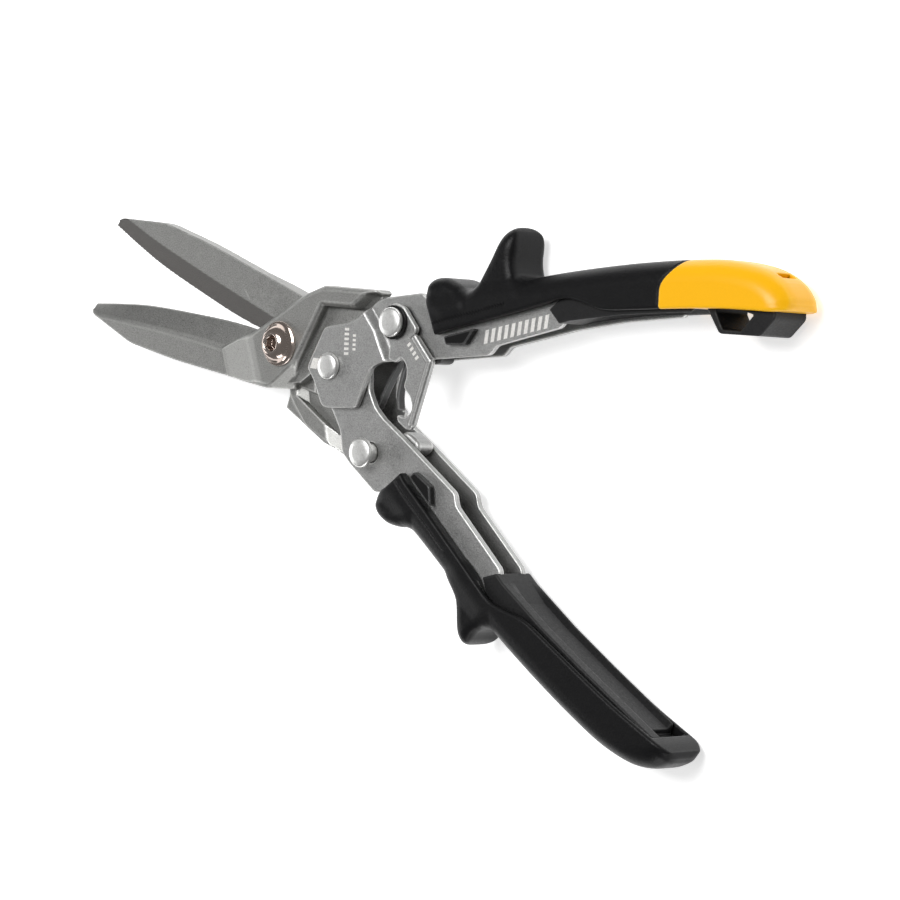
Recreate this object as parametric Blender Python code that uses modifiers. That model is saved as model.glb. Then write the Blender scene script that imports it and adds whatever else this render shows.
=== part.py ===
"""Aviation snips with compound leverage: two crossed blades, two channel handles, a hook latch.

Lengths below are millimetres in the snips' own frame: the blade pivot is the origin, X runs from
the blades to the handles, Y across the opening, Z out of the front face. The snips are modelled
fully open and lie on the backs of their grips. The upper handle and the front blade are modelled
as they stand; the lower handle and the rear blade are the same stampings turned half a turn about X.
"""

import math

import bpy
from mathutils import Matrix, Vector

MM = 0.001
GAP = 0.3
SPLIT = GAP / 2

# Linkage: blade pivot at the origin, handle pivot on X, one link rivet on each side.
LINK_X, LINK_Y = 49.1, 21.5
HANDLE_PIVOT_X = 25.4
HANDLE_CLOSE_DEG = 17.5
BLADE_CLOSE_DEG = 9.15
LOOP_SLACK = 0.35

# Thicknesses, counted from the shear plane outwards.
TAIL_THICK = 3.6
JAW_THICK = 4.35
BODY_THICK = 7.35
SHEET = 2.2
LATCH_THICK = 2.0
GRIP_HALF = 10.2
LINER_HALF = 8.2

# Lengths in the plane.
BLADE_REACH = 96.7
HANDLE_REACH = 194.5
TAIL_EYE_R = 8.8
LUG_R = 11.0
WEB_THICK = 2.2

# Fasteners.
BOLT_R = 4.0
BOLT_HEAD_R = 7.5
BOLT_HEAD_TALL = 4.4
NUT_ACROSS = 13.0
LINK_PIN_R = 3.0
LINK_HEAD_R = 4.7
HANDLE_PIN_R = 3.2
HANDLE_HEAD_R = 4.3
BUSH_WALL = 0.9
HEAD_TALL = 1.9

# Levels along Z that follow from the thicknesses.
TAIL_TOP = SPLIT + TAIL_THICK
JAW_TOP = SPLIT + JAW_THICK
BODY_TOP = SPLIT + BODY_THICK
CHANNEL_IN = TAIL_TOP + GAP
CHANNEL_OUT = CHANNEL_IN + SHEET
JOG_IN = CHANNEL_OUT + GAP
JOG_OUT = JOG_IN + SHEET
WASHER_TALL = 0.65
LATCH_LOW = CHANNEL_OUT + 2 * GAP + WASHER_TALL
LATCH_TOP = LATCH_LOW + LATCH_THICK
REST_Z = -GRIP_HALF

# The outlines are drawn for these reaches, and stretch from these roots when a reach above changes.
DRAWN_BLADE_REACH = 96.7
DRAWN_HANDLE_REACH = 194.5
JAW_ROOT_X = -30.0
GRIP_ROOT_X = 115.0
JAW_STRETCH = (BLADE_REACH + JAW_ROOT_X) / (DRAWN_BLADE_REACH + JAW_ROOT_X)
GRIP_STRETCH = (HANDLE_REACH - GRIP_ROOT_X) / (DRAWN_HANDLE_REACH - GRIP_ROOT_X)
GRIP_SLOPE = 0.3

LINK = (LINK_X, LINK_Y)
HANDLE_PIVOT = (HANDLE_PIVOT_X, 0.0)


# ---------------------------------------------------------------- outlines

def far(points):
    """Outline points of a handle, stretched beyond the grip's root by the handle's reach."""
    moved = []
    for x, y in points:
        extra = max(0.0, x - GRIP_ROOT_X) * (GRIP_STRETCH - 1.0)
        moved.append((x + extra, y + extra * GRIP_SLOPE))
    return moved


def jaw_x(x):
    """A place along the jaw, stretched beyond its root by the blade's reach."""
    return x + min(0.0, x - JAW_ROOT_X) * (JAW_STRETCH - 1.0)


def arc(centre, radius, start_deg, end_deg, steps):
    """Points on an arc, both ends included."""
    points = []
    for i in range(steps + 1):
        turn = math.radians(start_deg + (end_deg - start_deg) * i / steps)
        points.append((centre[0] + radius * math.cos(turn), centre[1] + radius * math.sin(turn)))
    return points


def circle(centre, radius, steps=28):
    return arc(centre, radius, 0.0, 360.0, steps)[:-1]


def offset_line(points, distance):
    """An open line moved sideways to its left by a distance."""
    moved = []
    for i, (x, y) in enumerate(points):
        before = Vector(points[max(i - 1, 0)])
        after = Vector(points[min(i + 1, len(points) - 1)])
        along = (after - before).normalized()
        moved.append((x - along.y * distance, y + along.x * distance))
    return moved


def strip(points, thickness):
    """A closed band of even thickness to the left of an open line."""
    return list(points) + offset_line(points, thickness)[::-1]


def stadium(first, second, radius, steps=10):
    """The outline that a disc sweeps from one centre to another."""
    turn = math.degrees(math.atan2(second[1] - first[1], second[0] - first[0]))
    head = arc(second, radius, turn - 90.0, turn + 90.0, steps)
    return head + arc(first, radius, turn + 90.0, turn + 270.0, steps)


# ---------------------------------------------------------------- Blender helpers

def clear_scene():
    for obj in list(bpy.data.objects):
        bpy.data.objects.remove(obj, do_unlink=True)


def new_collection(name):
    collection = bpy.data.collections.new(name)
    bpy.context.scene.collection.children.link(collection)
    return collection


def material(name, colour, roughness, metallic):
    made = bpy.data.materials.new(name)
    made.use_nodes = True
    shader = made.node_tree.nodes["Principled BSDF"]
    shader.inputs["Base Color"].default_value = (*colour, 1.0)
    shader.inputs["Roughness"].default_value = roughness
    shader.inputs["Metallic"].default_value = metallic
    return made


def flat_solid(name, loops, low, high, flipped=False):
    """A flat outline with its holes, filled and extruded between two levels."""
    curve = bpy.data.curves.new(name, "CURVE")
    curve.dimensions = "2D"
    curve.fill_mode = "BOTH"
    curve.extrude = (high - low) / 2 * MM
    for loop in loops:
        spline = curve.splines.new("POLY")
        spline.points.add(len(loop) - 1)
        for point, (x, y) in zip(spline.points, loop):
            point.co = (x * MM, y * MM, 0.0, 1.0)
        spline.use_cyclic_u = True
    source = bpy.data.objects.new(name + "_outline", curve)
    WORKSHOP.objects.link(source)
    mesh = bpy.data.meshes.new_from_object(source)
    bpy.data.objects.remove(source, do_unlink=True)
    mesh.transform(Matrix.Translation((0.0, 0.0, (low + high) / 2 * MM)))
    return mesh_object(name, mesh, flipped)


def mesh_object(name, mesh, flipped=False):
    """An object in the workshop collection, with its doubled points welded."""
    mesh.materials.clear()
    obj = bpy.data.objects.new(name, mesh)
    WORKSHOP.objects.link(obj)
    if flipped:
        obj.rotation_euler.x = math.pi
    weld = obj.modifiers.new("Weld", "WELD")
    weld.merge_threshold = 1e-6
    obj.hide_render = True
    obj.display_type = "WIRE"
    return obj


def turned(name, profile, centre, flipped=False, steps=32):
    """A profile of (radius, height) points turned about Z at a place."""
    mesh = bpy.data.meshes.new(name)
    corners = [(radius * MM, 0.0, height * MM) for radius, height in profile]
    closed = profile[0][0] > 0.0
    edges = [(i, i + 1) for i in range(len(corners) - 1)]
    if closed:
        edges.append((len(corners) - 1, 0))
    mesh.from_pydata(corners, edges, [])
    obj = bpy.data.objects.new(name, mesh)
    WORKSHOP.objects.link(obj)
    side = -1.0 if flipped else 1.0
    obj.location = (centre[0] * MM, centre[1] * side * MM, 0.0)
    if flipped:
        obj.rotation_euler.x = math.pi
    screw = obj.modifiers.new("Turn", "SCREW")
    screw.steps = steps
    screw.render_steps = steps
    screw.use_merge_vertices = True
    screw.merge_threshold = 1e-6
    screw.use_normal_calculate = True
    screw.use_normal_flip = closed
    obj.hide_render = True
    obj.display_type = "WIRE"
    return obj


def lofted(name, sections, flipped=False):
    """A closed skin through cross-sections that all have the same number of corners."""
    count = len(sections[0])
    corners = [(x * MM, y * MM, z * MM) for section in sections for x, y, z in section]
    faces = [tuple(range(count))]
    for row in range(len(sections) - 1):
        base = row * count
        for i in range(count):
            after = (i + 1) % count
            faces.append((base + i, base + count + i, base + count + after, base + after))
    faces.append(tuple(reversed(range(len(corners) - count, len(corners)))))
    mesh = bpy.data.meshes.new(name)
    mesh.from_pydata(corners, [], faces)
    return mesh_object(name, mesh, flipped)


def boolean(obj, other, operation):
    modifier = obj.modifiers.new(operation.title(), "BOOLEAN")
    modifier.solver = "EXACT"
    modifier.operation = operation
    modifier.object = other


def rounded(obj, width, segments=2, degrees=40.0):
    bevel = obj.modifiers.new("Rounding", "BEVEL")
    bevel.width = width * MM
    bevel.segments = segments
    bevel.limit_method = "ANGLE"
    bevel.angle_limit = math.radians(degrees)


def slope_cutter(name, line, line_z, run, rise, flipped=False):
    """A block whose underside is a slope that starts on a line in the plane and climbs across it."""
    start = Vector((*line[0], line_z))
    end = Vector((*line[1], line_z))
    along = (end - start).normalized()
    uphill = Vector((-along.y, along.x, 0.0))
    climb = (uphill * run + Vector((0.0, 0.0, rise))).normalized()
    up = along.cross(climb).normalized()
    size = 80.0
    middle = (start + end) / 2 + up * size / 2
    bpy.ops.mesh.primitive_cube_add(size=size * MM)
    block = bpy.context.object
    block.name = name
    turn = Matrix((along, climb, up)).transposed().to_4x4()
    place = Matrix.Translation(middle * MM) @ turn
    if flipped:
        place = Matrix.Rotation(math.pi, 4, "X") @ place
    block.matrix_world = place
    for collection in list(block.users_collection):
        collection.objects.unlink(block)
    WORKSHOP.objects.link(block)
    block.hide_render = True
    block.display_type = "WIRE"
    return block


def finish(obj, body, look):
    """Moves a finished piece from the workshop to the snips and hangs it on its body's pivot."""
    WORKSHOP.objects.unlink(obj)
    SNIPS.objects.link(obj)
    obj.hide_render = False
    obj.display_type = "TEXTURED"
    obj.data.materials.append(look)
    obj.parent = body
    obj.matrix_parent_inverse = body.matrix_basis.inverted()
    return obj


# ---------------------------------------------------------------- blades

# Cutting edge, bevel line and spine of the front jaw at each place along it: (x, edge, bevel, spine).
JAW_STATIONS = (
    (-96.7, -14.45, -15.4, -16.6),
    (-93.5, -13.6, -16.2, -18.0),
    (-86.0, -11.6, -16.1, -19.7),
    (-69.0, -7.2, -13.9, -21.2),
    (-52.0, -4.2, -11.9, -20.9),
    (-35.6, -1.9, -10.3, -19.6),
    (-22.0, -0.5, -9.2, -18.0),
    (-8.0, 0.4, -8.4, -16.4),
)
EDGE_LAND = 0.8
SPINE_CHAMFER = 1.2
BODY_OUTLINE = (
    (-28.8, -9.9), (-23.3, -17.9), (-3.0, -16.0), (5.8, -13.3), (13.4, 16.4),
    (29.6, 20.4), (40.2, 30.0), (12.6, 23.4), (5.1, 18.4), (-13.7, 0.3),
)
RAMP_LINE = ((-28.8, -9.9), (-23.3, -17.7))
RAMP_RUN = 15.9
FRONT_CORNER = ((5.0, 16.0),)
REAR_CORNER = ((1.9, 20.9), (2.2, 15.0))
RELIEF_SPARE_DEG = (2.0, 1.0)
BORE_SPARE = 1.0


def pivot_in_blade(close_deg):
    """Where the handle pivot stands in the front blade's frame once each blade has turned this far."""
    arm = math.hypot(LINK_X, LINK_Y)
    link = math.hypot(LINK_X - HANDLE_PIVOT_X, LINK_Y)
    angle = math.atan2(LINK_Y, LINK_X) - math.radians(close_deg)
    lean = math.asin(arm * math.sin(angle) / link)
    reach = arm * math.cos(angle) - link * math.cos(lean)
    turn = math.radians(close_deg)
    return (reach * math.cos(turn), reach * math.sin(turn))


def jaw(name, flipped):
    sections = []
    for x, edge, bevel, spine in JAW_STATIONS:
        along = jaw_x(x)
        sections.append((
            (along, edge, SPLIT),
            (along, edge, SPLIT + EDGE_LAND),
            (along, bevel, JAW_TOP),
            (along, spine + SPINE_CHAMFER, JAW_TOP),
            (along, spine, JAW_TOP - SPINE_CHAMFER),
            (along, spine, SPLIT),
        ))
    return lofted(name, sections, flipped)


def tail_outline(corner):
    """The thin tail behind the blade's body, round the link eye; it ends at a corner over the jaw's root."""
    eye = arc(LINK, TAIL_EYE_R, -118.0, 112.0, 18)
    inner_side = [(2.0, -12.5), (9.0, -10.5), (16.5, -2.0), (30.0, 6.0)]
    return inner_side + eye + [(40.2, 30.0), (12.6, 23.4)] + list(corner)


def blade(name, body, look, link_hole_r, corner, flipped=False):
    """One blade forging: bevelled jaw, thick body round the pivot, thin tail with the link eye."""
    forging = flat_solid(name, [list(BODY_OUTLINE)], SPLIT, BODY_TOP, flipped)
    ramp = slope_cutter(name + "_ramp", RAMP_LINE, JAW_TOP, RAMP_RUN, BODY_TOP - JAW_TOP, flipped)
    boolean(forging, ramp, "DIFFERENCE")
    rounded(forging, 0.5, 1)
    boolean(forging, jaw(name + "_jaw", flipped), "UNION")
    tail = flat_solid(name + "_tail", [tail_outline(corner)], SPLIT, TAIL_TOP, flipped)
    boolean(forging, tail, "UNION")
    relief_r = HANDLE_PIN_R + BUSH_WALL + 2 * GAP
    before, after = RELIEF_SPARE_DEG
    path = stadium(pivot_in_blade(-before), pivot_in_blade(BLADE_CLOSE_DEG + after), relief_r)
    cuts = (
        ("_bore", circle((0.0, 0.0), BOLT_R + GAP), BODY_TOP),
        ("_link_bore", circle(LINK, link_hole_r), BODY_TOP),
        ("_relief", path, BODY_TOP),
    )
    for label, outline, top in cuts:
        cutter = flat_solid(name + label, [outline], SPLIT - BORE_SPARE, top + BORE_SPARE, flipped)
        boolean(forging, cutter, "DIFFERENCE")
    return finish(forging, body, look)


# ---------------------------------------------------------------- handle stampings

INNER_EDGE = ((46.2, 7.0), (50.9, 9.5), (60.8, 12.7), (87.7, 22.4), (89.6, 26.0), (112.9, 39.4))
BURIED_EDGE = ((115.0, 43.6), (136.0, 52.6), (150.0, 57.4))
PALM_EDGE = ((150.0, 65.6), (134.0, 61.0), (117.0, 54.8), (95.0, 45.0), (70.0, 33.0), (58.5, 31.5))
SHOULDER = ((54.5, 33.0), (40.8, 27.1), (36.6, 24.7), (33.7, 18.8))
TONGUE_END = 151.0
BEND = ((36.8, 23.6), (35.6, 14.6), (42.2, 8.2))
JOG_OUTLINE = (
    (37.3, 24.9), (35.3, 23.2), (32.8, 18.6), (28.3, 15.2), (19.1, 11.4), (16.5, 1.2), (15.2, -2.9),
    (19.5, -6.5), (25.2, -13.3), (27.5, -13.3), (39.5, -9.9), (41.0, -8.4), (42.8, 0.6),
    (42.8, 4.3), (44.3, 7.0), (43.0, 9.6), (37.5, 15.2),
)
JOG_STEP = 2.2


def handle_outline():
    """The part of a flange that both flanges share, from the shoulder to the buried tongue."""
    return list(INNER_EDGE) + far(BURIED_EDGE) + far(PALM_EDGE) + list(SHOULDER[:3])


def straight_flange():
    """The flange that runs inside the other handle's stepped flange at the handle pivot."""
    lug = arc(HANDLE_PIVOT, LUG_R, 118.0, 300.0, 14)
    return handle_outline() + [SHOULDER[3], (27.6, 13.2)] + lug + [(38.0, -8.6), (40.6, -2.6), (42.4, 3.0)]


def stepped_flange_near():
    """The near-level part of the stepped flange, which ends at the bend."""
    return [(44.5, 7.6)] + handle_outline() + [(37.8, 24.2), (37.4, 15.2)]


def handle_frame(name, body, look, flipped=False):
    """One channel stamping: a straight flange, a stepped flange and the web along the palm."""
    holes = [circle(LINK, LINK_PIN_R + GAP)]
    frame = flat_solid(name, [stepped_flange_near()] + holes, CHANNEL_IN, CHANNEL_OUT, flipped)
    bend = flat_solid(name + "_bend", [strip(BEND, JOG_STEP)], CHANNEL_IN + 0.02, JOG_OUT - 0.02, flipped)
    pivot_hole = circle(HANDLE_PIVOT, HANDLE_PIN_R + GAP)
    step = flat_solid(name + "_step", [list(JOG_OUTLINE), pivot_hole], JOG_IN, JOG_OUT, flipped)
    back = flat_solid(name + "_back", [straight_flange(), pivot_hole] + holes, -CHANNEL_OUT, -CHANNEL_IN, flipped)
    web_half = CHANNEL_OUT - 0.35
    palm = far(PALM_EDGE)
    web = flat_solid(name + "_web", [strip(palm, WEB_THICK)], -web_half, web_half, flipped)
    for other in (bend, step, web, back):
        boolean(frame, other, "UNION")
    return finish(frame, body, look)


# ---------------------------------------------------------------- grips

# Stations along a grip: (place on the inner edge, place on the palm, half width there).
GRIP_STATIONS = (
    ((65.6, 22.6), (57.4, 34.6), 9.4),
    ((70.0, 24.9), (64.6, 36.2), 10.2),
    ((82.0, 31.1), (76.0, 40.4), 10.2),
    ((98.2, 39.6), (91.6, 47.6), 10.2),
    ((108.0, 44.9), (101.0, 52.0), 10.2),
    ((115.0, 48.2), (109.2, 55.6), 10.2),
    ((123.0, 48.5), (118.6, 59.5), 10.2),
    ((131.5, 49.4), (127.6, 63.0), 10.2),
    ((142.0, 52.4), (137.4, 66.6), 10.2),
    ((156.0, 56.8), (151.4, 71.2), 10.2),
    ((171.0, 61.4), (167.0, 75.2), 10.2),
    ((182.0, 64.1), (179.8, 76.4), 10.2),
    ((188.4, 65.6), (188.2, 74.8), 9.8),
    ((192.4, 66.8), (193.0, 71.8), 8.4),
    ((193.8, 67.8), (194.5, 70.0), 6.4),
)
SECTION_FLAT = (0.15, 0.5)
SECTION_LIP = 1.3
SECTION_STEPS = 5
CAP_SEAM = ((149.6, 54.0), (149.2, 61.5), (150.8, 66.3), (154.2, 72.8))
NUB = (
    (57.6, 30.6), (55.9, 36.0), (58.0, 38.2), (62.5, 39.1), (68.0, 37.6), (73.0, 36.0), (76.0, 32.0), (68.0, 27.0),
)
NUB_HALF = 9.0
UPPER_HORN = (
    (101.0, 50.0), (95.3, 48.8), (90.2, 48.4), (88.2, 52.4), (87.6, 58.5), (86.6, 61.8),
    (84.6, 62.8), (82.6, 60.6), (80.6, 51.2), (77.5, 41.0), (76.0, 35.0), (92.0, 40.0),
)
LOWER_HORN = (
    (116.0, 57.0), (112.6, 58.0), (109.4, 60.2), (107.8, 64.2), (105.6, 66.2), (103.2, 65.2), (102.0, 60.0),
    (99.8, 53.6), (95.3, 48.8), (92.0, 44.0), (108.0, 48.0),
)
HORN_HALF = 8.6
LINER_EDGE = ((107.9, 42.5), (113.4, 39.5), (117.0, 41.8), (136.0, 49.2), (154.4, 55.3))
LINER_BACK = ((150.0, 62.0), (134.0, 57.4), (118.0, 51.4), (112.0, 48.0))
LUG_OUTLINE = ((69.6, 23.2), (71.2, 20.6), (78.8, 23.0), (81.4, 29.3))
LUG_TALL = 2.2


def grip_section(inner, palm, half):
    """One cross-section of a grip: flat flanks, a round palm and a lip along the inner edge."""
    lip, shoulder = SECTION_FLAT
    side = [(0.0, half - SECTION_LIP), (lip, half)]
    for i in range(SECTION_STEPS):
        turn = math.pi / 2 * i / SECTION_STEPS
        side.append((shoulder + (1.0 - shoulder) * math.sin(turn), half * math.cos(turn)))
    ring_points = side + [(1.0, 0.0)] + [(share, -z) for share, z in reversed(side)]
    across = Vector(palm) - Vector(inner)
    return [(inner[0] + across.x * share, inner[1] + across.y * share, z) for share, z in ring_points]


def grip_body(name, flipped=False):
    """The grip's body, from the guard in front to the nose, skinned through its stations."""
    sections = []
    for inner, palm, half in GRIP_STATIONS:
        inner, palm = far([inner, palm])
        sections.append(grip_section(inner, palm, half * GRIP_HALF / GRIP_STATIONS[1][2]))
    return lofted(name, sections, flipped)


def channel_pocket():
    """The room that the channel takes in the grip, left open towards the other handle."""
    palm = offset_line([SHOULDER[0]] + far(PALM_EDGE)[::-1], GAP)
    end = far([(TONGUE_END, 66.0), (TONGUE_END, 45.0)])
    return palm + end + [(113.0, 30.0), (60.0, 5.0)]


def liner_outline(end_x):
    """The hard inner liner of a grip, as far back as a place along the handle."""
    if end_x <= 154.4:
        return list(LINER_EDGE[:3]) + far(LINER_EDGE[3:]) + far(LINER_BACK)
    tip = ((end_x, 55.3 + (end_x - 154.4) * 0.27), (end_x, 63.0 + (end_x - 154.4) * 0.22))
    return list(LINER_EDGE[:3]) + far(LINER_EDGE[3:] + tip + LINER_BACK)


def liner_pocket(end_x):
    """The liner's room in the grip, with a clearance on the palm side and at its end."""
    front = ((104.0, 41.0), (113.4, 30.0), (end_x + GAP, 45.0))
    reach = max(0.0, end_x - 154.4)
    tip = (end_x + GAP, 63.4 + reach * 0.22)
    back = ((150.0, 62.4), (134.0, 57.8), (118.0, 51.9), (111.4, 48.6))
    return list(front[:2]) + far(front[2:] + (tip,) + back[:3]) + [back[3]]


def grip(name, body, look, horn, liner_end, flipped=False):
    """The moulded grip: guard nub, finger horn and palm, hollow for the channel and the liner."""
    skin = grip_body(name, flipped)
    nub = flat_solid(name + "_nub", [list(NUB)], -NUB_HALF, NUB_HALF, flipped)
    fin = flat_solid(name + "_horn", [list(horn)], -HORN_HALF, HORN_HALF, flipped)
    for guard in (nub, fin):
        rounded(guard, 2.0, 2)
        boolean(skin, guard, "UNION")
    channel_half = CHANNEL_OUT + GAP
    pocket = flat_solid(name + "_pocket", [channel_pocket()], -channel_half, channel_half, flipped)
    liner_half = LINER_HALF + GAP
    room = flat_solid(name + "_room", [liner_pocket(liner_end)], -liner_half, liner_half, flipped)
    boolean(skin, pocket, "DIFFERENCE")
    boolean(skin, room, "DIFFERENCE")
    return finish(skin, body, look)


def cap_cutter(name, gap, keep_far):
    """A block on one side of the cap's seam, set back from it by half the seam's gap."""
    shift = gap / 2 if keep_far else -gap / 2
    seam = [(x + shift, y) for x, y in far(CAP_SEAM)]
    edge_x = seam[0][0] + (-120.0 if keep_far else 80.0)
    low_y = seam[0][1] - 60.0
    high_y = seam[-1][1] + 12.0
    outline = [(seam[0][0], low_y)] + seam + [(seam[-1][0], high_y), (edge_x, high_y), (edge_x, low_y)]
    return flat_solid(name, [outline], -GRIP_HALF - 2.0, GRIP_HALF + 2.0)


def liner(name, body, look, end_x, flipped=False):
    """The hard liner that closes the channel's open side along the back half of the grip."""
    core = flat_solid(name, [liner_outline(end_x)], -LINER_HALF, LINER_HALF, flipped)
    rounded(core, 0.5, 1)
    tongue_half = CHANNEL_OUT + GAP
    inner = offset_line(far([(104.0, 33.6), (112.9, 39.4), (115.0, 43.6), (136.0, 52.6), (150.0, 57.4)]), -GAP)
    end = far([(TONGUE_END, 57.1), (TONGUE_END, 80.0)])
    slot = flat_solid(name + "_slot", [inner + end + [(104.0, 70.0)]], -tongue_half, tongue_half, flipped)
    boolean(core, slot, "DIFFERENCE")
    return finish(core, body, look)


def lug(name, body, look, flipped=False):
    """The moulded lug that keys the grip to the flange."""
    low = CHANNEL_OUT + GAP
    key = flat_solid(name, [list(LUG_OUTLINE)], low, low + LUG_TALL, flipped)
    rounded(key, 0.4, 1)
    return finish(key, body, look)


def stop_block(name, body, look, flipped=False):
    """The block between the flanges whose face meets the other handle's block when closed."""
    limit = math.tan(math.radians(HANDLE_CLOSE_DEG))
    face = [(x, (x - HANDLE_PIVOT_X) * limit + 0.35) for x in (57.6, 64.8)]
    outline = [(56.0, 12.4), face[0], face[1], (66.4, 14.2), (66.0, 19.0), (59.5, 19.6)]
    block = flat_solid(name, [outline], -TAIL_TOP, TAIL_TOP, flipped)
    rounded(block, 0.8, 2)
    return finish(block, body, look)


CAP_SLOT = ((183.6, 72.6), (186.6, 72.2), (188.0, 80.0), (185.0, 80.0))
CAP_SLOT_HALF = 3.0
LOOP_OUTLINE = (
    (165.6, 60.8), (168.0, 58.6), (172.8, 54.4), (187.4, 57.9), (191.2, 64.4), (190.0, 68.4), (166.4, 65.0),
)
LOOP_WINDOW = ((169.8, 60.2), (173.8, 56.0), (180.4, 57.5), (183.4, 63.2), (170.2, 62.8))
LOOP_HALF = 7.6


def end_cap(body, look):
    """The bright cap on the upper grip's end, with a lanyard slot through its nose."""
    cap = grip_body("end_cap")
    boolean(cap, cap_cutter("cap_front", GAP, True), "DIFFERENCE")
    slot = flat_solid("cap_slot", [far(CAP_SLOT)], -CAP_SLOT_HALF, CAP_SLOT_HALF)
    room_outline = offset_loop(far(LOOP_OUTLINE), GAP)
    room = flat_solid("cap_room", [room_outline], -LOOP_HALF - GAP, LOOP_HALF + GAP)
    liner_room = flat_solid(
        "cap_liner_room", [far([(140.0, 46.0), (162.0, 46.0), (162.0, 64.6), (140.0, 64.6)])],
        -LINER_HALF - GAP, LINER_HALF + GAP,
    )
    tongue = channel_pocket()
    tongue_room = flat_solid("cap_tongue_room", [tongue], -CHANNEL_OUT - GAP, CHANNEL_OUT + GAP)
    for cutter in (slot, room, liner_room, tongue_room):
        boolean(cap, cutter, "DIFFERENCE")
    return finish(cap, body, look)


def offset_loop(points, distance):
    """A closed outline grown by a distance; its points run anticlockwise."""
    grown = []
    for i, (x, y) in enumerate(points):
        before = Vector(points[i - 1])
        after = Vector(points[(i + 1) % len(points)])
        here = Vector((x, y))
        into = (here - before).normalized()
        out_of = (after - here).normalized()
        normal = Vector((into.y + out_of.y, -into.x - out_of.x)).normalized()
        lean = max(0.35, normal.dot(Vector((into.y, -into.x))))
        grown.append((x + normal.x * distance / lean, y + normal.y * distance / lean))
    return grown


def tether_loop(body, look):
    """The loop under the upper grip's end, for a tool tether."""
    loops = [far(LOOP_OUTLINE), far(LOOP_WINDOW)]
    loop = flat_solid("tether_loop", loops, -LOOP_HALF, LOOP_HALF)
    rounded(loop, 0.5, 1)
    return finish(loop, body, look)


# ---------------------------------------------------------------- latch and spring

LATCH_HOOK_R = 3.3
LATCH_OPEN_DEG = 9.0


def latch_post():
    """Where the lower link stud stands on the latch as modelled, once the snips are closed and latched."""
    span = 2 * math.hypot(LINK_X, LINK_Y)
    half = math.atan2(LINK_Y, LINK_X) - math.radians(BLADE_CLOSE_DEG)
    distance = span * math.sin(half)
    bearing = math.radians(-90.0 + HANDLE_CLOSE_DEG + LATCH_OPEN_DEG)
    return (LINK_X + distance * math.cos(bearing), LINK_Y + distance * math.sin(bearing))


def latch_outline():
    """The hook plate: ear and flange edge, long arm, hook round the stud's neck, throat, heel."""
    post = latch_post()
    hook = arc(post, LATCH_HOOK_R, -66.0, 122.0, 12)
    tip = (post[0] - 1.2, post[1] - 4.2)
    outer = [(post[0] - 0.6, post[1] - 6.2), (post[0] + 4.0, post[1] - 7.2), (post[0] + 6.3, post[1] - 5.4)]
    flank = [(67.4, 3.0), (68.6, 13.2), (61.0, 20.6), (57.6, 20.2), (58.4, 22.6), (56.4, 26.2)]
    crown = arc(LINK, 6.6, 50.0, 214.0, 10)
    heel = [(45.4, 16.0), (48.4, 14.9), (48.2, 11.2), (51.6, 9.0), (55.2, 10.4), (58.6, 8.4), (59.0, 4.4)]
    return [tip] + outer + flank + crown + heel + hook[::-1]


def latch(body, look):
    """The hook latch, a flat plate with a thumb flange folded back along its outer edge."""
    plate = flat_solid("latch", [latch_outline(), circle(LINK, LINK_PIN_R + GAP)], LATCH_LOW, LATCH_TOP)
    flange_line = [(67.2, -3.0), (67.4, 3.0), (68.6, 13.2)]
    flange_low = CHANNEL_OUT + GAP
    flange = flat_solid("latch_flange", [strip(flange_line, LATCH_THICK)], flange_low, LATCH_TOP - 0.02)
    boolean(plate, flange, "UNION")
    rounded(plate, 0.35, 1)
    return finish(plate, body, look)


SPRING_LINE = (
    (43.4, -9.2), (44.6, -3.6), (46.2, 2.4), (48.2, 7.4), (49.6, 9.0), (50.6, 7.6), (50.2, 2.0), (50.4, -3.0), (52.6, -7.4),
)
SPRING_THICK = 1.1
SPRING_HALF = 3.2


def return_spring(body, look):
    """The bent leaf spring between the handles, which opens them."""
    leaf = flat_solid("return_spring", [strip(SPRING_LINE, SPRING_THICK)], -SPRING_HALF, SPRING_HALF)
    return finish(leaf, body, look)


# ---------------------------------------------------------------- fasteners

def rivet(name, body, look, centre, radius, head_r, head_low, tail_high, flipped=False):
    """A headed pin: a low domed head above head_low and a flat head below tail_high."""
    tail_tall = HEAD_TALL - 0.8
    profile = [
        (0.0, tail_high - tail_tall), (head_r - 0.6, tail_high - tail_tall), (head_r, tail_high - tail_tall + 0.5),
        (head_r, tail_high), (radius, tail_high), (radius, head_low), (head_r, head_low),
        (head_r, head_low + HEAD_TALL - 0.6), (head_r - 0.7, head_low + HEAD_TALL), (0.0, head_low + HEAD_TALL),
    ]
    return finish(turned(name, profile, centre, flipped), body, look)


def ring(name, body, look, centre, inner_r, outer_r, low, high, flipped=False):
    profile = [(inner_r, low), (inner_r, high), (outer_r, high), (outer_r, low)]
    return finish(turned(name, profile, centre, flipped), body, look)


def pivot_bolt(body, look):
    low = BODY_TOP + GAP
    flange = low + 1.4
    top = low + BOLT_HEAD_TALL
    profile = [
        (0.0, REST_Z + 0.6), (BOLT_R, REST_Z + 0.6), (BOLT_R, low), (BOLT_HEAD_R, low), (BOLT_HEAD_R, flange - 0.4),
        (BOLT_HEAD_R - 0.6, flange), (BOLT_HEAD_R - 1.4, flange + 0.3), (5.6, flange + 1.4), (4.7, top - 0.4),
        (3.9, top), (0.0, top),
    ]
    bolt = turned("pivot_bolt", profile, (0.0, 0.0))
    socket = flat_solid("bolt_socket", [circle((0.0, 0.0), 2.9, 6)], top - 2.6, top + 1.0)
    boolean(bolt, socket, "DIFFERENCE")
    return finish(bolt, body, look)


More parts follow.
